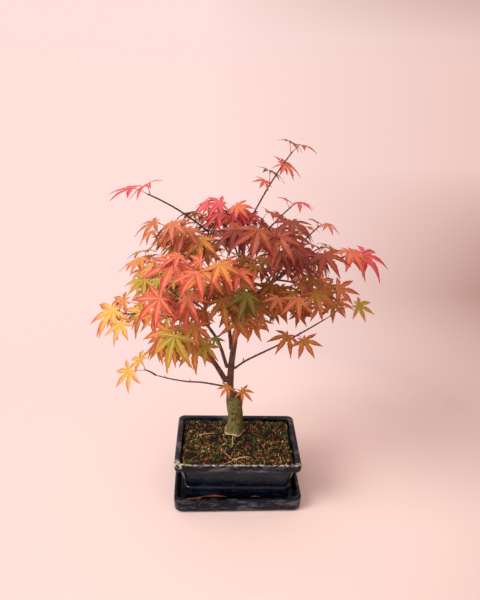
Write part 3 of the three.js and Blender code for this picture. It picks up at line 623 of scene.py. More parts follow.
# Leaves: a star of five lobes about the end of a stalk
lobe_angles = [-92, -44, 0, 44, 92]
lobe_reaches = [0.72, 0.94, 1, 0.94, 0.72]
sinus_reach = 0.37
heel_angle = 165
heel_reach = 0.08
leaf_thickness = 0.045
stalk_radius = 0.7
leaf_tries = 9
blade_middle = 0.3
crowding = 0.42
stack_weight = 2.4
least_turn = 0.3
joint_step = 2.2
stalk_range = (0.4, 0.4)
droop_range = (0.1, 0.25)
fall_range = (0.25, 0.6)
size_range = (0.82, 0.3)
sprig_range = (0.8, 0.5)
first_node = 0.4
end_node_size = 0.86
sprig_leaf_size = 0.92
end_leaf_size = 0.7
end_leaf_step = 2.4
pair_step = 0.4
pair_roll = 0.9
pair_rise = 0.1
sprig_rise = 0.2
open_pair = 0.72
forward_pair = 0.5
turn_aside = 0.3
shrink_step = 0.045
stalk_rise = 0.25
stalk_shake = 0.4
face_up = 0.8
face_out = 0.3
face_tilt = 0.5
point_aim = 0.8
point_out = 0.35
crown_middle = vec(-4, 20, 250)
light_side = unit(vec(-0.3, -0.85, 0.35))
level_height = 320
level_fade = 70
level_depth = 70
depth_fade = 60
most_turn = 0.85


class Leaf:
    """A leaf as the source has it: its stalk, lobe lines and edges, and its flat corners."""

    def __init__(self, root, centre, forward, normal, size, droop):
        self.root = root
        self.centre = centre
        self.forward = forward
        self.normal = normal
        self.side = np.cross(forward, normal)
        self.size = size
        self.droop = droop
        points = [self.point(-heel_angle, heel_reach)]
        for lobe, angle in enumerate(lobe_angles):
            if lobe > 0:
                points.append(self.point((angle + lobe_angles[lobe - 1]) / 2, sinus_reach))
            points.append(self.point(angle, lobe_reaches[lobe]))
        points.append(self.point(heel_angle, heel_reach))
        self.outline = np.array(points)
        count = len(points)
        middle = np.repeat(centre[None], count, axis=0)
        self.corners = np.stack([middle[1:], self.outline[:-1], self.outline[1:]], axis=1)
        self.starts = np.concatenate([[root], middle, self.outline[:-1]])
        self.ends = np.concatenate([[centre], self.outline, self.outline[1:]])
        self.heart = self.point(0, blade_middle)

    def point(self, degrees, reach):
        angle = math.radians(degrees)
        reach_mm = reach * self.size
        flat = self.forward * math.cos(angle) + self.side * math.sin(angle)
        return self.centre + flat * reach_mm - self.normal * self.droop * reach * reach_mm

    def apart_from(self, other, share):
        gap = self.heart - other.heart
        facing = unit(self.normal + other.normal)
        above = np.dot(gap, facing)
        flat = math.sqrt(max(np.dot(gap, gap) - above * above, 0))
        if math.hypot(flat, stack_weight * above) < share * (self.size + other.size):
            return False
        return not (any_pierces(self.starts, self.ends, other.corners)
                    or any_pierces(other.starts, other.ends, self.corners))


def clear_of_limbs(leaf, rods):
    """Whether stalk, lobes and edges keep their room from every limb, and none is pierced."""
    room = rods[:, 6:] + limb_margin
    gaps = piece_distances(rods, leaf.starts, leaf.ends)
    lobes = 1 + len(leaf.outline)
    if (gaps[:, :1] < room + stalk_radius).any() or (gaps[:, lobes:] < room).any():
        return False
    if (gaps[:, 2:lobes] < room + leaf.size * leaf_thickness / 2).any():
        return False
    return not any_pierces(rods[:, 0:3], rods[:, 3:6], leaf.corners)


def source_fit(spray, leaf, rods):
    """The rule of the part's source for whether a leaf has its place."""
    half = leaf.size * leaf_thickness / 2
    if inside_cell(spray, leaf.centre)[0] < cell_margin + half:
        return False
    if (inside_cell(spray, leaf.outline) < cell_margin).any():
        return False
    if not all(leaf.apart_from(other, crowding) for other in spray.leaves):
        return False
    return clear_of_limbs(leaf, rods)


def twig_clear(a, b, rods):
    gaps = piece_distances(rods, a[None], b[None])[:, 0]
    return bool((gaps > rods[:, 6] + limb_margin + sprig_radius).all())


def twig_fits(spray, a, b, rods):
    return inside_cell(spray, b)[0] >= cell_margin + sprig_radius and twig_clear(a, b, rods)


def turn_to_light(place):
    low = min(max((level_height - place[2]) / level_fade, 0.1), 1)
    front = min(max((level_depth - place[1]) / depth_fade, 0.15), 1)
    return most_turn * low * front


def grow_leaf(spray, root, heading, size, random, rods, fits):
    """Tries a leaf a few times, each turned further aside and a little smaller."""
    turn_sign = -1 if random() < 0.5 else 1
    stalk = size * in_range(stalk_range, random)
    shake = jitter(random)
    tilt = jitter(random)
    droop = in_range(droop_range, random)
    fall = in_range(fall_range, random)
    for attempt in range(leaf_tries):
        side = 1 if attempt % 2 == 0 else -1
        swing = turn_sign * side * math.ceil(attempt / 2) * turn_aside
        shrink = 1 - shrink_step * attempt
        aim = spun(heading, up, swing)
        direction = mix((aim, 1), (up, stalk_rise), (shake, stalk_shake))
        centre = root + direction * stalk * shrink
        outward = unit((centre - crown_middle) * vec(1, 1, 0))
        light = (light_side, turn_to_light(centre))
        normal = mix((up, face_up), (outward, face_out), light, (tilt, face_tilt))
        lean = mix((aim, point_aim), (outward, point_out), (up, -fall))
        forward = unit(lean - normal * np.dot(lean, normal))
        if np.dot(forward, direction) < least_turn:
            continue
        leaf = Leaf(root, centre, forward, normal, size * shrink, droop)
        if fits(spray, leaf, rods):
            spray.leaves.append(leaf)
            return leaf
    return None


def pair_headings(along, opening, random):
    side = unit(np.cross(along, up))
    side = spun(side, along, (random() - 0.5) * pair_roll)
    return [mix((side, opening), (along, 1 - opening)), mix((side, -opening), (along, 1 - opening))]


def grow_spray(spray, rods):
    random = seeded(spray.seed)

    def add_leaf(node, heading, size, along, step):
        root = node - along * step * joint_step
        grow_leaf(spray, root, heading, size, random, rods, source_fit)

    first = first_node if spray.nodes > 1 else 1
    for node in range(spray.nodes):
        last = node == spray.nodes - 1
        share = 1 if last else first + (1 - first) * node / (spray.nodes - 1)
        root = spray.stem.curve.place(share)
        along = spray.stem.curve.tangent(share)
        headings = pair_headings(along, forward_pair if last else open_pair, random)
        size = spray.lobe * (end_node_size if last else 1) * in_range(size_range, random)
        for step, heading in enumerate(headings):
            reach = spray.lobe * in_range(sprig_range, random)
            tip = root + mix((heading, 1), (up, sprig_rise)) * reach
            if node < spray.sprigs and twig_fits(spray, root, tip, rods):
                spray.twigs.append((root, tip))
                onward = unit(tip - root)
                pair = pair_headings(mix((heading, 1), (up, pair_rise)), forward_pair, random)
                for turn, branch in enumerate(pair):
                    add_leaf(tip, branch, size * sprig_leaf_size, onward, turn + pair_step)
            else:
                add_leaf(root, heading, size, along, step + pair_step)
        if last and spray.nodes > 1:
            add_leaf(root, along, size * end_leaf_size, along, end_leaf_step)


limb_rods = leader.pieces(leader_steps)
for name in joints:
    limb_rods += limbs[name].pieces(bough_steps)
for spray in sprays:
    spray.rods = spray.stem.pieces(stem_steps)


def rods_around(spray):
    """The limbs, and the stems of all other sprays."""
    others = [rod for other in sprays if other is not spray for rod in other.rods]
    return np.array(limb_rods + others)


for spray in sprays:
    grow_spray(spray, rods_around(spray))

# Finer growth: more pairs between the nodes of each stem and along its side sprigs. A fine
# leaf may lean a little way into a neighbour's space, but its plain outline pierces no other
# leaf's. The blades as they are seen fold and curl a little way off that outline.
fine_shares = [0.3, 0.52, 0.64, 0.76, 0.9]
fine_overlap = 9.0
fine_crowding = 0.27
fine_seed = 7000
fine_size_range = (0.62, 0.34)
fine_twig_share = 0.55
fine_twig_range = (0.3, 0.5)
fine_twig_rise = 0.25
fine_far = 1.2
side_leaf_share = 0.55
side_leaf_size = 0.75
fine_reach = 1.08


def spray_reach(spray):
    tips = np.concatenate([leaf.outline for leaf in spray.leaves])
    return float(np.linalg.norm(tips - spray.middle, axis=1).max())


def fine_fit(spray, leaf, rods):
    if (inside_cell(spray, leaf.outline) < -fine_overlap).any():
        return False
    if np.linalg.norm(leaf.outline - spray.middle, axis=1).max() > spray.reach * fine_reach:
        return False
    for other in crown:
        if np.linalg.norm(other.heart - leaf.heart) > fine_far * (leaf.size + other.size):
            continue
        if not leaf.apart_from(other, fine_crowding):
            return False
    return clear_of_limbs(leaf, rods)


def grow_fine(spray, rods):
    random = seeded(spray.seed + fine_seed)

    def add_leaf(base, heading, size):
        leaf = grow_leaf(spray, base, heading, size, random, rods, fine_fit)
        if leaf:
            crown.append(leaf)
        return leaf

    for share in fine_shares:
        root = spray.stem.curve.place(share)
        for heading in pair_headings(spray.stem.curve.tangent(share), open_pair, random):
            size = spray.lobe * in_range(fine_size_range, random)
            base = root
            if random() < fine_twig_share:
                rise = mix((heading, 1), (up, fine_twig_rise))
                tip = root + rise * size * in_range(fine_twig_range, random)
                if twig_clear(root, tip, rods):
                    base = tip
            if add_leaf(base, heading, size) and base is not root:
                spray.fine_twigs.append((root, base))
    for start, end in spray.twigs:
        root = start + (end - start) * side_leaf_share
        for heading in pair_headings(unit(end - start), open_pair, random):
            add_leaf(root, heading, spray.lobe * side_leaf_size * in_range(fine_size_range, random))


crown = [leaf for spray in sprays for leaf in spray.leaves]
for spray in sprays:
    spray.reach = spray_reach(spray)
    spray.fine_twigs = []
for spray in sprays:
    if spray.sprigs:
        grow_fine(spray, rods_around(spray))


# Joined meshes: many small pieces of one kind in one mesh
class Joined:
    """The points and faces of many small pieces, gathered for one mesh."""

    def __init__(self):
        self.points = []
        self.faces = []
        self.finishes = []
        self.materials = []

    def add(self, points, faces, material):
        if material not in self.materials:
            self.materials.append(material)
        base = len(self.points)
        self.points.extend(points)
        self.faces.extend([base + corner for corner in face] for face in faces)
        self.finishes.extend([self.materials.index(material)] * len(faces))

    def made(self, name, smooth=True):
        mesh = bpy.data.meshes.new(name)
        mesh.from_pydata([tuple(np.array(point) * MM) for point in self.points], [], self.faces)
        for material in self.materials:
            mesh.materials.append(material)
        mesh.polygons.foreach_set("material_index", self.finishes)
        mesh.polygons.foreach_set("use_smooth", [smooth] * len(self.faces))
        mesh.update()
        piece = bpy.data.objects.new(name, mesh)
        bpy.context.collection.objects.link(piece)
        return piece


def sweep(joined, points, radii, sides, material):
    """A closed round strand through the points."""
    points = [np.array(p, float) for p in points]
    rings = []
    across = None
    for i, point in enumerate(points):
        ahead = unit(points[min(i + 1, len(points) - 1)] - points[max(i - 1, 0)])
        if across is None:
            across = np.cross(ahead, up if abs(ahead[2]) < 0.9 else vec(1, 0, 0))
        across = unit(across - ahead * np.dot(across, ahead))
        beside = np.cross(ahead, across)
        for k in range(sides):
            angle = 2 * math.pi * k / sides
            rings.append(point + (across * math.cos(angle) + beside * math.sin(angle)) * radii[i])
    faces = [list(range(sides))[::-1]]
    for i in range(len(points) - 1):
        for k in range(sides):
            a, b = i * sides + k, i * sides + (k + 1) % sides
            faces.append([a, b, b + sides, a + sides])
    top = (len(points) - 1) * sides
    faces.append([top + k for k in range(sides)])
    joined.add(rings, faces, material)


# The blade of a leaf as it is seen: seven lobes with teeth, folded on their veins
seen_lobes = [(-138, 0.3), (-92, 0.72), (-44, 0.94), (0, 1.0), (44, 0.94), (92, 0.72), (138, 0.3)]
seen_gaps = [(-165, 0.07), (-114, 0.11), (-67, 0.18), (-22, 0.21), (22, 0.21), (67, 0.18),
             (114, 0.11), (165, 0.07)]
lobe_profile = [(0.14, 1.35), (0.32, 1.62), (0.5, 1.42), (0.68, 0.92), (0.84, 0.42)]
rail_widths = (0.85, 0.5)
rail_shares = (0.42, 0.7)
small_lobe = 0.5
small_lobe_width = 0.8
tooth_out = 1.1
tooth_in = 0.88
tooth_back = 0.01
tooth_length = 0.05
vein_half = 0.013
vein_narrowing = 0.6
gap_fold = 0.35
fold_range = (0.15, 0.35)
curl_range = (0.02, 0.16)
lobe_range = (0.94, 0.12)
lift_range = (-0.08, 0.16)


def leaf_blade(joined, leaf, finishes, random):
    """The lobes of one leaf, each in two halves with a heart, margins with teeth, and a vein."""
    blade, heart, vein = finishes
    fold = in_range(fold_range, random)
    points = []

    def put(forward, side, height):
        flat = leaf.forward * forward + leaf.side * side
        points.append(leaf.centre + (flat + leaf.normal * height) * leaf.size)
        return len(points) - 1

    def add(corners, material):
        joined.add([points[c] for c in corners], [list(range(len(corners)))], material)

    gap_marks = []
    for degrees, reach in seen_gaps:
        angle = math.radians(degrees)
        height = fold * reach * gap_fold - leaf.droop * reach * reach
        gap_marks.append(put(reach * math.cos(angle), reach * math.sin(angle), height))
    for index, (degrees, full) in enumerate(seen_lobes):
        angle = math.radians(degrees)
        reach = full * in_range(lobe_range, random)
        lift = in_range(lift_range, random)
        curl = in_range(curl_range, random)
        cosine, sine = math.cos(angle), math.sin(angle)

        def lobe_point(s, w):
            height = -leaf.droop * (s * s + w * w) + lift * s * s - curl * s * (s / reach) ** 2
            return put(cosine * s - sine * w, sine * s + cosine * w, height + fold * abs(w))

        stations = [0.0] + [share * reach for share in rail_shares]
        tip = lobe_point(reach, 0)
        for way in (-1, 1):
            gap_angle, gap_reach = seen_gaps[index + (way > 0)]
            turn = math.radians(gap_angle) - angle
            start_s, start_w = gap_reach * math.cos(turn), abs(gap_reach * math.sin(turn))
            margin = [gap_marks[index + (way > 0)]]
            for share, width in lobe_profile:
                s = start_s + (reach - start_s) * share
                w = start_w * width * (1 if full > small_lobe else small_lobe_width)
                margin.append(lobe_point(s - tooth_back, way * w * tooth_out))
                margin.append(lobe_point(s + tooth_length * reach, way * w * tooth_in))
            veins = [lobe_point(s, way * vein_half * (1 - vein_narrowing * s / reach))
                     for s in stations]
            rails = [lobe_point(s, way * start_w * width)
                     for s, width in zip(stations[1:], rail_widths)]
            add([veins[0], veins[1], rails[0]], heart)
            add([veins[1], veins[2], rails[1], rails[0]], heart)
            add([veins[2], tip, rails[1]], blade)
            add([veins[0], rails[0], *reversed(margin[:5])], heart)
            add([rails[0], rails[1], *reversed(margin[4:9])], blade)
            add([rails[1], tip, *reversed(margin[8:])], blade)
            if way < 0:
                first_veins = veins
        for k in range(2):
            add([first_veins[k], first_veins[k + 1], veins[k + 1], veins[k]], vein)
        add([first_veins[2], tip, veins[2]], vein)


tint_seed = 5000
stalk_bow = 0.06
stalk_radii = [0.75, 0.45, 0.4, 0.4, 0.4, 0.45]
stem_shares = [0, 0.1, 0.2, 0.3, 0.5, 0.6, 0.8, 0.9, 1]
sprig_radii = [0.85, 0.7, 0.75]
fine_twig_radii = [0.6, 0.45, 0.5]


def stalk_points(leaf):
    """A stalk that leaves its twig at a slant and bows up to the blade."""
    bow = leaf.root * 0.5 + leaf.centre * 0.5
    bow = bow + up * stalk_bow * np.linalg.norm(leaf.centre - leaf.root)
    return [bent(leaf.root, bow, leaf.centre, i / 5) for i in range(6)]


slot_of = {row["node"]: row["material_slot"] for row in frame["record"]["subparts"]}
leaf_groups = {}
twigs = Joined()
for spray in sprays:
    group = leaf_groups.setdefault(slot_of[spray.name], Joined())
    random = seeded(spray.seed + tint_seed)
    for leaf in spray.leaves:
        name = spray.other_tint if random() < spray.other_share else spray.tint
        leaf_blade(group, leaf, tints[name], random)
        sweep(twigs, stalk_points(leaf), stalk_radii, 4, leaf_stalk)
    places = [spray.joint] + [spray.stem.curve.place(t) for t in stem_shares]
    radii = [spray.stem.radius(t) for t in [0, *stem_shares]]
    sweep(twigs, places, radii, 6, twig_bark)
    for ends, thickness in ((spray.twigs, sprig_radii), (spray.fine_twigs, fine_twig_radii)):
        for a, b in ends:
            sweep(twigs, [a, a * 0.5 + b * 0.5, b], thickness, 5, twig_bark)

# Buds that have not opened: limb, share of its length, height and finish
bud_rows = [
    ("right_bough", 0.1, 8, leaf_stalk),
    ("right_bough", 0.62, 4, leaf_stalk),
    ("low_left_bough", 0.5, 5, tints["golden"][2]),
    ("low_left_bough", 0.86, 4, tints["yellow"][0]),
]
bud_lean = 0.35
bud_radii = [0.45, 0.8, 0.15]
for limb_name, share, height, finish in bud_rows:
    foot = limbs[limb_name].curve.at(share)
    tip = foot + mix((up, 1), (limbs[limb_name].curve.along(share), bud_lean)) * height
    sweep(twigs, [foot, foot * 0.4 + tip * 0.6, tip], bud_radii, 6, finish)

for slot_name, group in leaf_groups.items():
    leaves = group.made(slot_name, smooth=False)
    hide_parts(*[spray.name for spray in sprays if slot_of[spray.name] == slot_name])
    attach(leaves, "root")
twig_piece = twigs.made("twigs")
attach(twig_piece, "root")


# Hand-modelling helpers
def select_only(*pieces):
    """Selects these pieces and no other, with the first as the active one."""
    for item in bpy.context.selected_objects:
        item.select_set(False)
    for piece in pieces:
        piece.select_set(True)
    if pieces:
        bpy.context.view_layer.objects.active = pieces[0]


def apply_modifiers(piece):
    select_only(piece)
    for modifier in list(piece.modifiers):
        bpy.ops.object.modifier_apply(modifier=modifier.name)


def pick(piece, kind, wanted):
    """Picks only the wanted faces or edges, and leaves the piece in edit mode."""
    bpy.ops.object.mode_set(mode="EDIT")
    bpy.ops.mesh.select_mode(type=kind)
    bpy.ops.mesh.select_all(action="DESELECT")
    bpy.ops.object.mode_set(mode="OBJECT")
    for item in piece.data.polygons if kind == "FACE" else piece.data.edges:
        item.select = wanted(item)
    bpy.ops.object.mode_set(mode="EDIT")


def run_of(piece, edge):
    """The direction in which an edge runs."""
    a, b = (piece.data.vertices[i].co for i in edge.vertices)
    return (b - a).normalized()


def settled(piece):
    """Puts the piece's place, turn and size into its mesh."""
    select_only(piece)
    bpy.ops.object.transform_apply(location=True, rotation=True, scale=True)


def dressed(piece, *materials):
    piece.data.materials.clear()
    for material in materials:
        piece.data.materials.append(material)


# Wood: the old stem, and the young leader with its boughs in one skin
stem_rings = 40
flare_levels = 2
ridge_height = 0.55
knot_height = 0.5
chip_height = 0.5
cut_slope = 2.5
neck_start = 0.9
neck_narrowing = 0.3
fork_swell = (1.25, 1.18)
skin_grain = 0.55
young_ridge = 0.16


def make_old_stem():
    curve = through(old_stem_bends)
    select_only()
    bpy.ops.mesh.primitive_cylinder_add(vertices=48, radius=1, depth=1, end_fill_type="NGON")
    piece = bpy.context.object
    piece.name = "old_stem"
    pick(piece, "EDGE", lambda edge: abs(run_of(piece, edge).z) > 0.9)
    bpy.ops.mesh.subdivide_edgering(number_cuts=stem_rings - 1, interpolation="LINEAR")
    bpy.ops.object.mode_set(mode="OBJECT")
    levels = len(old_stem_radii)
    for vertex in piece.data.vertices:
        share = vertex.co.z + 0.5
        level = share * (levels - 1)
        radius = float(np.interp(level, range(levels), old_stem_radii))
        lobe = math.cos(root_lobes * math.atan2(vertex.co.y, vertex.co.x))
        radius *= 1 + root_flare * max(0, 1 - level / flare_levels) * lobe
        out = Vector((vertex.co.x, vertex.co.y, 0))
        ridge = noise.fractal(Vector((out.x * 3.2, out.y * 3.2, share * 5)), 0.6, 2.1, 4)
        knot = noise.noise(Vector((out.x * 1.3, out.y * 1.3, share * 9)))
        radius += ridge_height * ridge + knot_height * knot
        place = Vector(curve.at(share)) + out * radius
        if share > 0.999:
            place.z += chip_height * noise.noise(out * 6) - cut_slope * out.x
        vertex.co = place * MM
    dressed(piece, old_bark)
    for polygon in piece.data.polygons:
        polygon.use_smooth = True
    return piece


def limb_curve(name, limb, start=None, steps=16):
    """A round limb as a bevelled curve with its taper, made a mesh."""
    select_only()
    bpy.ops.curve.primitive_nurbs_path_add()
    piece = bpy.context.object
    piece.name = name
    data = piece.data
    data.splines.clear()
    shares = [i / steps for i in range(steps + 1)]
    places = [limb.curve.at(u) for u in shares]
    necks = [max(0, (u - neck_start) / (1 - neck_start)) for u in shares]
    radii = [limb.radius(u) * (1 - neck_narrowing * neck) for u, neck in zip(shares, necks)]
    if start is not None:
        places.insert(0, start)
        radii.insert(0, limb.foot * fork_swell[0])
        radii[1] *= fork_swell[1]
    spline = data.splines.new("POLY")
    spline.points.add(len(places) - 1)
    for point, place, radius in zip(spline.points, places, radii):
        point.co = (*(place * MM), 1)
        point.radius = radius
    data.bevel_depth = MM
    data.bevel_resolution = 4
    data.use_fill_caps = True
    select_only(piece)
    bpy.ops.object.convert(target="MESH")
    return bpy.context.object


def make_young_wood():
    parts = [limb_curve("leader", leader, steps=24)]
    for name, joint in joints.items():
        parts.append(limb_curve(name, limbs[name], joint))
    select_only(*parts)
    bpy.ops.object.join()
    piece = bpy.context.object
    piece.name = "young_wood"
    skin = piece.modifiers.new("skin", "REMESH")
    skin.mode = "VOXEL"
    skin.voxel_size = skin_grain * MM
    skin.use_smooth_shade = True
    soft = piece.modifiers.new("soft", "SMOOTH")
    soft.factor = 0.5
    soft.iterations = 4
    apply_modifiers(piece)
    settled(piece)
    normals = [vertex.normal.copy() for vertex in piece.data.vertices]
    for vertex, normal in zip(piece.data.vertices, normals):
        place = vertex.co / MM
        grain = Vector((place.x * 0.55, place.y * 0.55, place.z * 0.16))
        vertex.co += normal * noise.fractal(grain, 0.6, 2.0, 3) * young_ridge * MM
    dressed(piece, young_bark)
    return piece


old_stem = make_old_stem()
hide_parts("trunk")
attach(old_stem, "root")
young_wood = make_young_wood()
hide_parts(*[row[0] for row in bough_rows])
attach(young_wood, "root")


# Pottery: blocks drawn up level by level
pot_levels = [(27, 126, 88), (28, 124, 86), (57.1, 138, 100), (58.1, 149, 111), (63.4, 150, 112),
              (64.9, 148, 110), (64.9, 137, 99), (57.1, 134, 96), (20, 112, 74)]
pot_foot = (4.8, 126, 88)
recess_levels = [(4.8, 114, 76), (14, 110, 72)]
tray_foot = (0, 148, 107)
tray_levels = [(3, 152, 111), (18.3, 153, 112), (18.3, 144, 103), (4.5, 141, 100)]
tray_turn = math.radians(1.3)
pot_corner = 6.5
pot_softness = 1.1
tray_corner = 8.5
tray_softness = 1.4
arch_foot = (2.8, 92, 130)
arch_top = (13.8, 92, 130)
arch_shoulder = 8.5


def pick_level(piece, height, upward):
    """Picks the faces at a height that look up (1) or down (-1)."""
    def wanted(face):
        return abs(face.center.z - height * MM) < 1e-5 and face.normal.z * upward > 0.9

    pick(piece, "FACE", wanted)


def draw_levels(piece, base, levels):
    """Extrudes the picked face through the levels, each a height, width and depth."""
    z, width, depth = base
    for next_z, next_width, next_depth in levels:
        shift = {"value": (0, 0, (next_z - z) * MM)}
        bpy.ops.mesh.extrude_region_move(TRANSFORM_OT_translate=shift)
        ratio = (next_width / width, next_depth / depth, 1)
        bpy.ops.transform.resize(value=ratio, center_override=(0, 0, next_z * MM))
        z, width, depth = next_z, next_width, next_depth


def start_block(name, foot, top):
    """A block between its foot and its first level, with the top face picked."""
    z, width, depth = foot
    select_only()
    bpy.ops.mesh.primitive_cube_add(size=1)
    piece = bpy.context.object
    piece.name = name
    bpy.ops.object.mode_set(mode="EDIT")
    bpy.ops.mesh.select_all(action="SELECT")
    size = (width * MM, depth * MM, (top[0] - z) * MM)
    bpy.ops.transform.resize(value=size, center_override=(0, 0, 0))
    bpy.ops.transform.translate(value=(0, 0, (top[0] + z) / 2 * MM))
    pick_level(piece, top[0], 1)
    ratio = (top[1] / width, top[2] / depth, 1)
    bpy.ops.transform.resize(value=ratio, center_override=(0, 0, top[0] * MM))
    return piece


def round_corners(piece, radius):
    """Rounds every edge that runs along neither X nor Y."""
    def wanted(edge):
        run = run_of(piece, edge)
        return abs(run.x) < 0.99 and abs(run.y) < 0.99

    pick(piece, "EDGE", wanted)
    bpy.ops.mesh.bevel(offset=radius * MM, segments=6, affect="EDGES")
    bpy.ops.mesh.select_mode(type="FACE")
    bpy.ops.mesh.select_all(action="SELECT")
    bpy.ops.mesh.normals_make_consistent(inside=False)
    bpy.ops.object.mode_set(mode="OBJECT")


def soften(piece, width):
    edge = piece.modifiers.new("soft edge", "BEVEL")
    edge.width = width * MM
    edge.segments = 3
    edge.limit_method = "ANGLE"
    edge.angle_limit = math.radians(28)
    apply_modifiers(piece)
    select_only(piece)
    bpy.ops.object.shade_smooth_by_angle(angle=math.radians(40))


def make_arch_cutter():
    """A long low block with round shoulders, for the arch under the pot."""
    arch = start_block("arch", arch_foot, arch_top)

    def wanted(edge):
        high = arch.data.vertices[edge.vertices[0]].co.z > 0.01
        return high and abs(run_of(arch, edge).y) > 0.9

    pick(arch, "EDGE", wanted)
    bpy.ops.mesh.bevel(offset=arch_shoulder * MM, segments=6, affect="EDGES")
    bpy.ops.mesh.select_mode(type="FACE")
    bpy.ops.object.mode_set(mode="OBJECT")
    dressed(arch, bare_clay)
    return arch


def make_pot():
    pot = start_block("glazed_pot", pot_foot, pot_levels[0])
    draw_levels(pot, pot_levels[0], pot_levels[1:])
    pick_level(pot, pot_foot[0], -1)
    draw_levels(pot, pot_foot, recess_levels)
    round_corners(pot, pot_corner)
    dressed(pot, pot_glaze)
    arch = make_arch_cutter()
    cut = pot.modifiers.new("arch", "BOOLEAN")
    cut.object = arch
    cut.operation = "DIFFERENCE"
    cut.solver = "EXACT"
    cut.material_mode = "TRANSFER"
    apply_modifiers(pot)
    bpy.data.objects.remove(arch)
    soften(pot, pot_softness)
    return pot


def make_tray():
    tray = start_block("glazed_tray", tray_foot, tray_levels[0])
    draw_levels(tray, tray_levels[0], tray_levels[1:])
    round_corners(tray, tray_corner)
    dressed(tray, tray_glaze)
    tray.data.transform(Matrix.Rotation(tray_turn, 4, "Z"))
    soften(tray, tray_softness)
    return tray


pot = make_pot()
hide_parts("pot")
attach(pot, "root")
tray = make_tray()
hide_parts("drip_tray")
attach(tray, "root")


# Soil: a crumbly bed under short moss and fibres
bed_width = 134.5
bed_depth = 96.5
bed_drop = 1.2
bed_skirt = 6
edge_fall = 1.6
edge_width = 6
clod_height = 0.9


def bed_height(x, y):
    """The height of the soil's surface, falling a little toward the pot's walls."""
    edge = min(bed_width / 2 - abs(x), bed_depth / 2 - abs(y))
    fall = edge_fall * max(0, 1 - edge / edge_width)
    rough = clod_height * noise.fractal(Vector((x * 0.09, y * 0.09, 3)), 0.7, 2.1, 4)
    return soil_level - bed_drop - fall + rough


def make_bed():
    select_only()
    bpy.ops.mesh.primitive_grid_add(x_subdivisions=110, y_subdivisions=80, size=1)
    bed = bpy.context.object
    bed.name = "soil_bed"
    for vertex in bed.data.vertices:
        x, y = vertex.co.x * bed_width, vertex.co.y * bed_depth
        rim = max(abs(vertex.co.x), abs(vertex.co.y)) > 0.499
        vertex.co = Vector((x, y, bed_height(x, y) - rim * bed_skirt)) * MM
    bed.data.update()
    select_only(bed)
    bpy.ops.object.shade_smooth()
    dressed(bed, damp_soil)
    return bed


# Kinds of fibre, each with the share of all fibres that lie before the next kind
fibre_kinds = [
    (plain("dark_fibre", "0b0703", 0.9), 0.4),
    (plain("brown_fibre", "2a1a08", 0.85), 0.6),
    (plain("ochre_fibre", "b0832a", 0.8), 0.76),
    (plain("olive_fibre", "645e18", 0.85), 0.9),
    (plain("straw_fibre", "e8d595", 0.8), 0.965),
    (plain("rust_fibre", "5e2410", 0.8), 1.01),
]
moss_green = plain("moss_green", "44701a", 0.8)
root_skin = plain("root_skin", "d2c49a", 0.75)
fallen_red = plain("fallen_red", "b01f40", 0.7)
fibre_count = 4800
fibre_length = (2, 3.4)
fibre_width = (0.32, 0.34)
fibre_rise = (0.4, 1.9)
fibre_bend = 1.6
bare_foot = 10
moss_level = 0.28
moss_share = 0.4
dark_level = -0.05
dark_share = 0.72
scrap_count = 15
scrap_turns = (0, 1.2, 2.3)
scrap_length = (3.2, 2)
scrap_height = 1.4
scrap_margin = 14
scrap_width = 0.9
scrap_rise = 0.5
scrap_bend = 0.2
fibre_height = 0.1
fibre_margin = 3
fibre_tilt = 0.5
# Scale and layer of the wander that makes the soil's dark patches and its moss
dark_patches = (0.045, 21)
moss_patches = (0.06, 9)
soil_seed = 77


def ribbon(joined, place, heading, length, width, rise, bend, material):
    """A short strip that springs from the soil, bows over and comes back to it."""
    aside = unit(np.cross(heading, up))
    points = []
    for i in range(5):
        t = i / 4
        arch = math.sin(math.pi * t)
        middle = place + heading * length * (t - 0.5) + up * rise * arch + aside * bend * arch
        points += [middle - aside * width / 2, middle + aside * width / 2]
    faces = [[2 * i, 2 * i + 1, 2 * i + 3, 2 * i + 2] for i in range(4)]
    joined.add(points, faces, material)


def bed_place(random, margin):
    return (random() - 0.5) * (bed_width - margin), (random() - 0.5) * (bed_depth - margin)


def patches(x, y, scale, layer):
    """A slow wander between about -1 and 1 over the bed."""
    return noise.noise(Vector((x * scale, y * scale, layer)))


def make_fibres():
    fibres = Joined()
    random = seeded(soil_seed)
    for _ in range(fibre_count):
        x, y = bed_place(random, fibre_margin)
        if math.hypot(x - trunk_x, y - trunk_y) < bare_foot:
            continue
        turn = random() * 2 * math.pi
        heading = vec(math.cos(turn), math.sin(turn), fibre_tilt * (random() - 0.5))
        place = vec(x, y, bed_height(x, y) + fibre_height)
        chance = random()
        if patches(x, y, *dark_patches) < dark_level:
            chance *= dark_share
        material = next(kind for kind, share in fibre_kinds if chance < share)
        if patches(x, y, *moss_patches) > moss_level and random() < moss_share:
            material = moss_green
        length, width, rise = (in_range(r, random) for r in (fibre_length, fibre_width, fibre_rise))
        bend = fibre_bend * (random() - 0.5)
        ribbon(fibres, place, heading, length, width, rise, bend, material)
    for _ in range(scrap_count):
        x, y = bed_place(random, scrap_margin)
        turn = random() * 2 * math.pi
        place = vec(x, y, bed_height(x, y) + scrap_height)
        for aside in scrap_turns:
            heading = vec(math.cos(turn + aside), math.sin(turn + aside), 0)
            length = in_range(scrap_length, random)
            ribbon(fibres, place, heading, length, scrap_width, scrap_rise, scrap_bend, fallen_red)
    return fibres.made("moss_and_fibres", smooth=False)


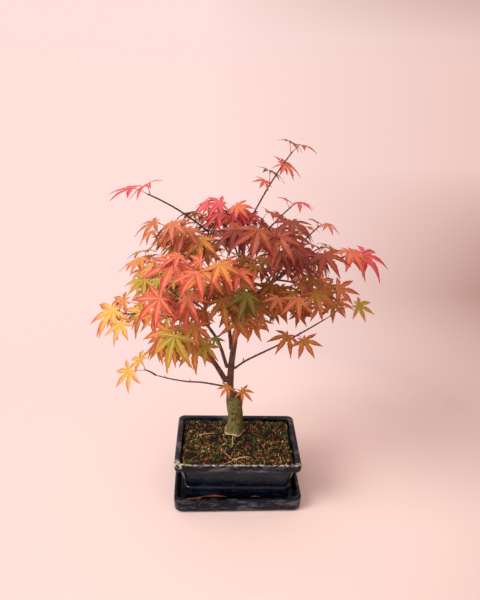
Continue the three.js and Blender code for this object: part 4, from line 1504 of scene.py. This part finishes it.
root_radii = [0.55 - 0.03 * i for i in range(10)]
collar_height = 63.4
collar_angles = [math.radians(150 + 12 * i) for i in range(16)]
collar_radii = [0.35 + 0.35 * math.sin(math.pi * i / 15) for i in range(16)]
root_paths = [
    [(-5, 11, 63.2), (-5.5, 2, 63.4), (-5.2, -5, 62.6), (-6, -10, 61.8)],
    [(-13, -12, 62), (-15, -22, 62.6), (-10, -31, 62.6), (-5, -37, 62.2)],
    [(-5, -37, 62.6), (2, -34, 63), (11, -31, 62.6), (17, -32, 61.8)],
    [(-48, 13, 62.4), (-40, 15, 63.2), (-31, 17, 63), (-24, 18, 62.2)],
    [(-5, -37, 62.4), (-10, -42, 62.6), (-16, -44, 61.8)],
]


def stem_ring(angle):
    """The foot of the old stem at an angle, measured from its middle."""
    radius = old_stem_radii[0] * (1 + root_flare * math.cos(root_lobes * angle))
    return vec(math.cos(angle) * radius, math.sin(angle) * radius, 0)


def make_roots():
    """Pale roots that lie on the soil, and the collar round the back of the stem's foot."""
    roots = Joined()
    for path in root_paths:
        curve = through([vec(*point) for point in path])
        places = [curve.at(i / 9) for i in range(10)]
        sweep(roots, places, root_radii, 5, root_skin)
    middle = vec(trunk_x, trunk_y, collar_height)
    collar = [middle + stem_ring(angle) for angle in collar_angles]
    sweep(roots, collar, collar_radii, 6, root_skin)
    return roots.made("surface_roots")


bed = make_bed()
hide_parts("soil")
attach(bed, "root")
for piece in (make_fibres(), make_roots()):
    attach(piece, "root")


# Floor and light. Painted shade darkens the paper a little toward the right, in a wedge matched
# to the picture: it opens from the middle of the front, as far forward as the picture's camera
# stands. No node reads the camera, so the wedge lies still on the floor in other views. A strip of
# deeper painted shade lies across the wedge further back, and a painted pool of light brightens
# the paper round the pot. The air has the same wedge by direction, where it dims the light
# itself. Sizes here are in metres.
floor_radius = 40
shade_wedge_slopes = (-0.02, 0.45)
least_ahead = 0.1
# Where the strip of deeper painted shade starts and ends in depth, and how far the painted pool of light
# round the pot reaches.
shade_band_near = (0.15, 0.65)
shade_band_far = (2.2, 0.7)
painted_light_round_pot = (0.16, 0)
air_rise = (0, 0.06)


class Air(Finish):
    """The studio around the stage, with a pattern that is fixed by direction in the room."""

    def __init__(self, world):
        world.use_nodes = True
        self.tree = world.node_tree
        self.shader = self.tree.nodes["Background"]
        self.place = self.node("TexCoord", {}).outputs["Generated"]

    def color(self, value):
        self.feed(self.shader.inputs["Color"], value)


def shade_wedge_share(finish, start):
    """How far into the wedge a place lies: 0 at its left side and 1 at its right side. On the floor it lays
    painted shade; in the air it dims the studio's light.
    """
    ahead = finish.sum(finish.sum(finish.axis("Y"), start), 0, "ABSOLUTE")
    across = finish.sum(finish.axis("X"), finish.most(ahead, least_ahead), "DIVIDE")
    return finish.ramp(across, *shade_wedge_slopes)


def make_stage():
    select_only()
    bpy.ops.mesh.primitive_circle_add(vertices=96, radius=floor_radius, fill_type="NGON")
    floor = bpy.context.object
    floor.name = "floor"
    paper = Finish("pale_floor", 0.95)
    paper.shader.inputs["Specular IOR Level"].default_value = 0.1
    # Painted shade: the paper grows darker toward the right, inside the wedge.
    side = shade_wedge_share(paper, -camera_place[1] * MM)
    depth = paper.axis("Y")
    # Painted shade: a deeper, darker strip across the back right of the wedge.
    shade_band = paper.times(paper.ramp(depth, *shade_band_near), paper.ramp(depth, *shade_band_far))
    tone = paper.blend(side, "ddd8db", "cbbfbf")
    tone = paper.blend(paper.times(shade_band, paper.times(side, side)), tone, "9f8a85")
    # Painted light: a paler pool on the paper round the pot.
    across = paper.axis("X")
    apart = paper.sum(paper.times(across, across), paper.times(depth, depth))
    paper.color(paper.over(tone, apart, *painted_light_round_pot, "ebe0dd"))
    dressed(floor, paper.material)


def make_air():
    world = bpy.data.worlds.new("studio")
    air = Air(world)
    side = shade_wedge_share(air, 0)
    high = air.times(air.ramp(air.axis("Z"), *air_rise), side)
    air.color(air.blend(high, air.blend(side, "fee0dc", "e9c6c0"), "cfada5"))
    air.shader.inputs["Strength"].default_value = 1.0
    bpy.context.scene.world = world


def lamp(name, place, code, energy, angle):
    light = bpy.data.lights.new(name, "SUN")
    light.color = linear(code)
    light.energy = energy
    light.angle = math.radians(angle)
    made = bpy.data.objects.new(name, light)
    bpy.context.collection.objects.link(made)
    made.location = place
    made.rotation_mode = "QUATERNION"
    made.rotation_quaternion = (-Vector(place)).to_track_quat("-Z", "Y")


make_stage()
make_air()
lamp("key_light", (-1.4, -0.65, 1.35), "fff3ea", 2.2, 30)
lamp("fill_light", (0.6, -1.2, 1.6), "ffd2bd", 0.5, 60)
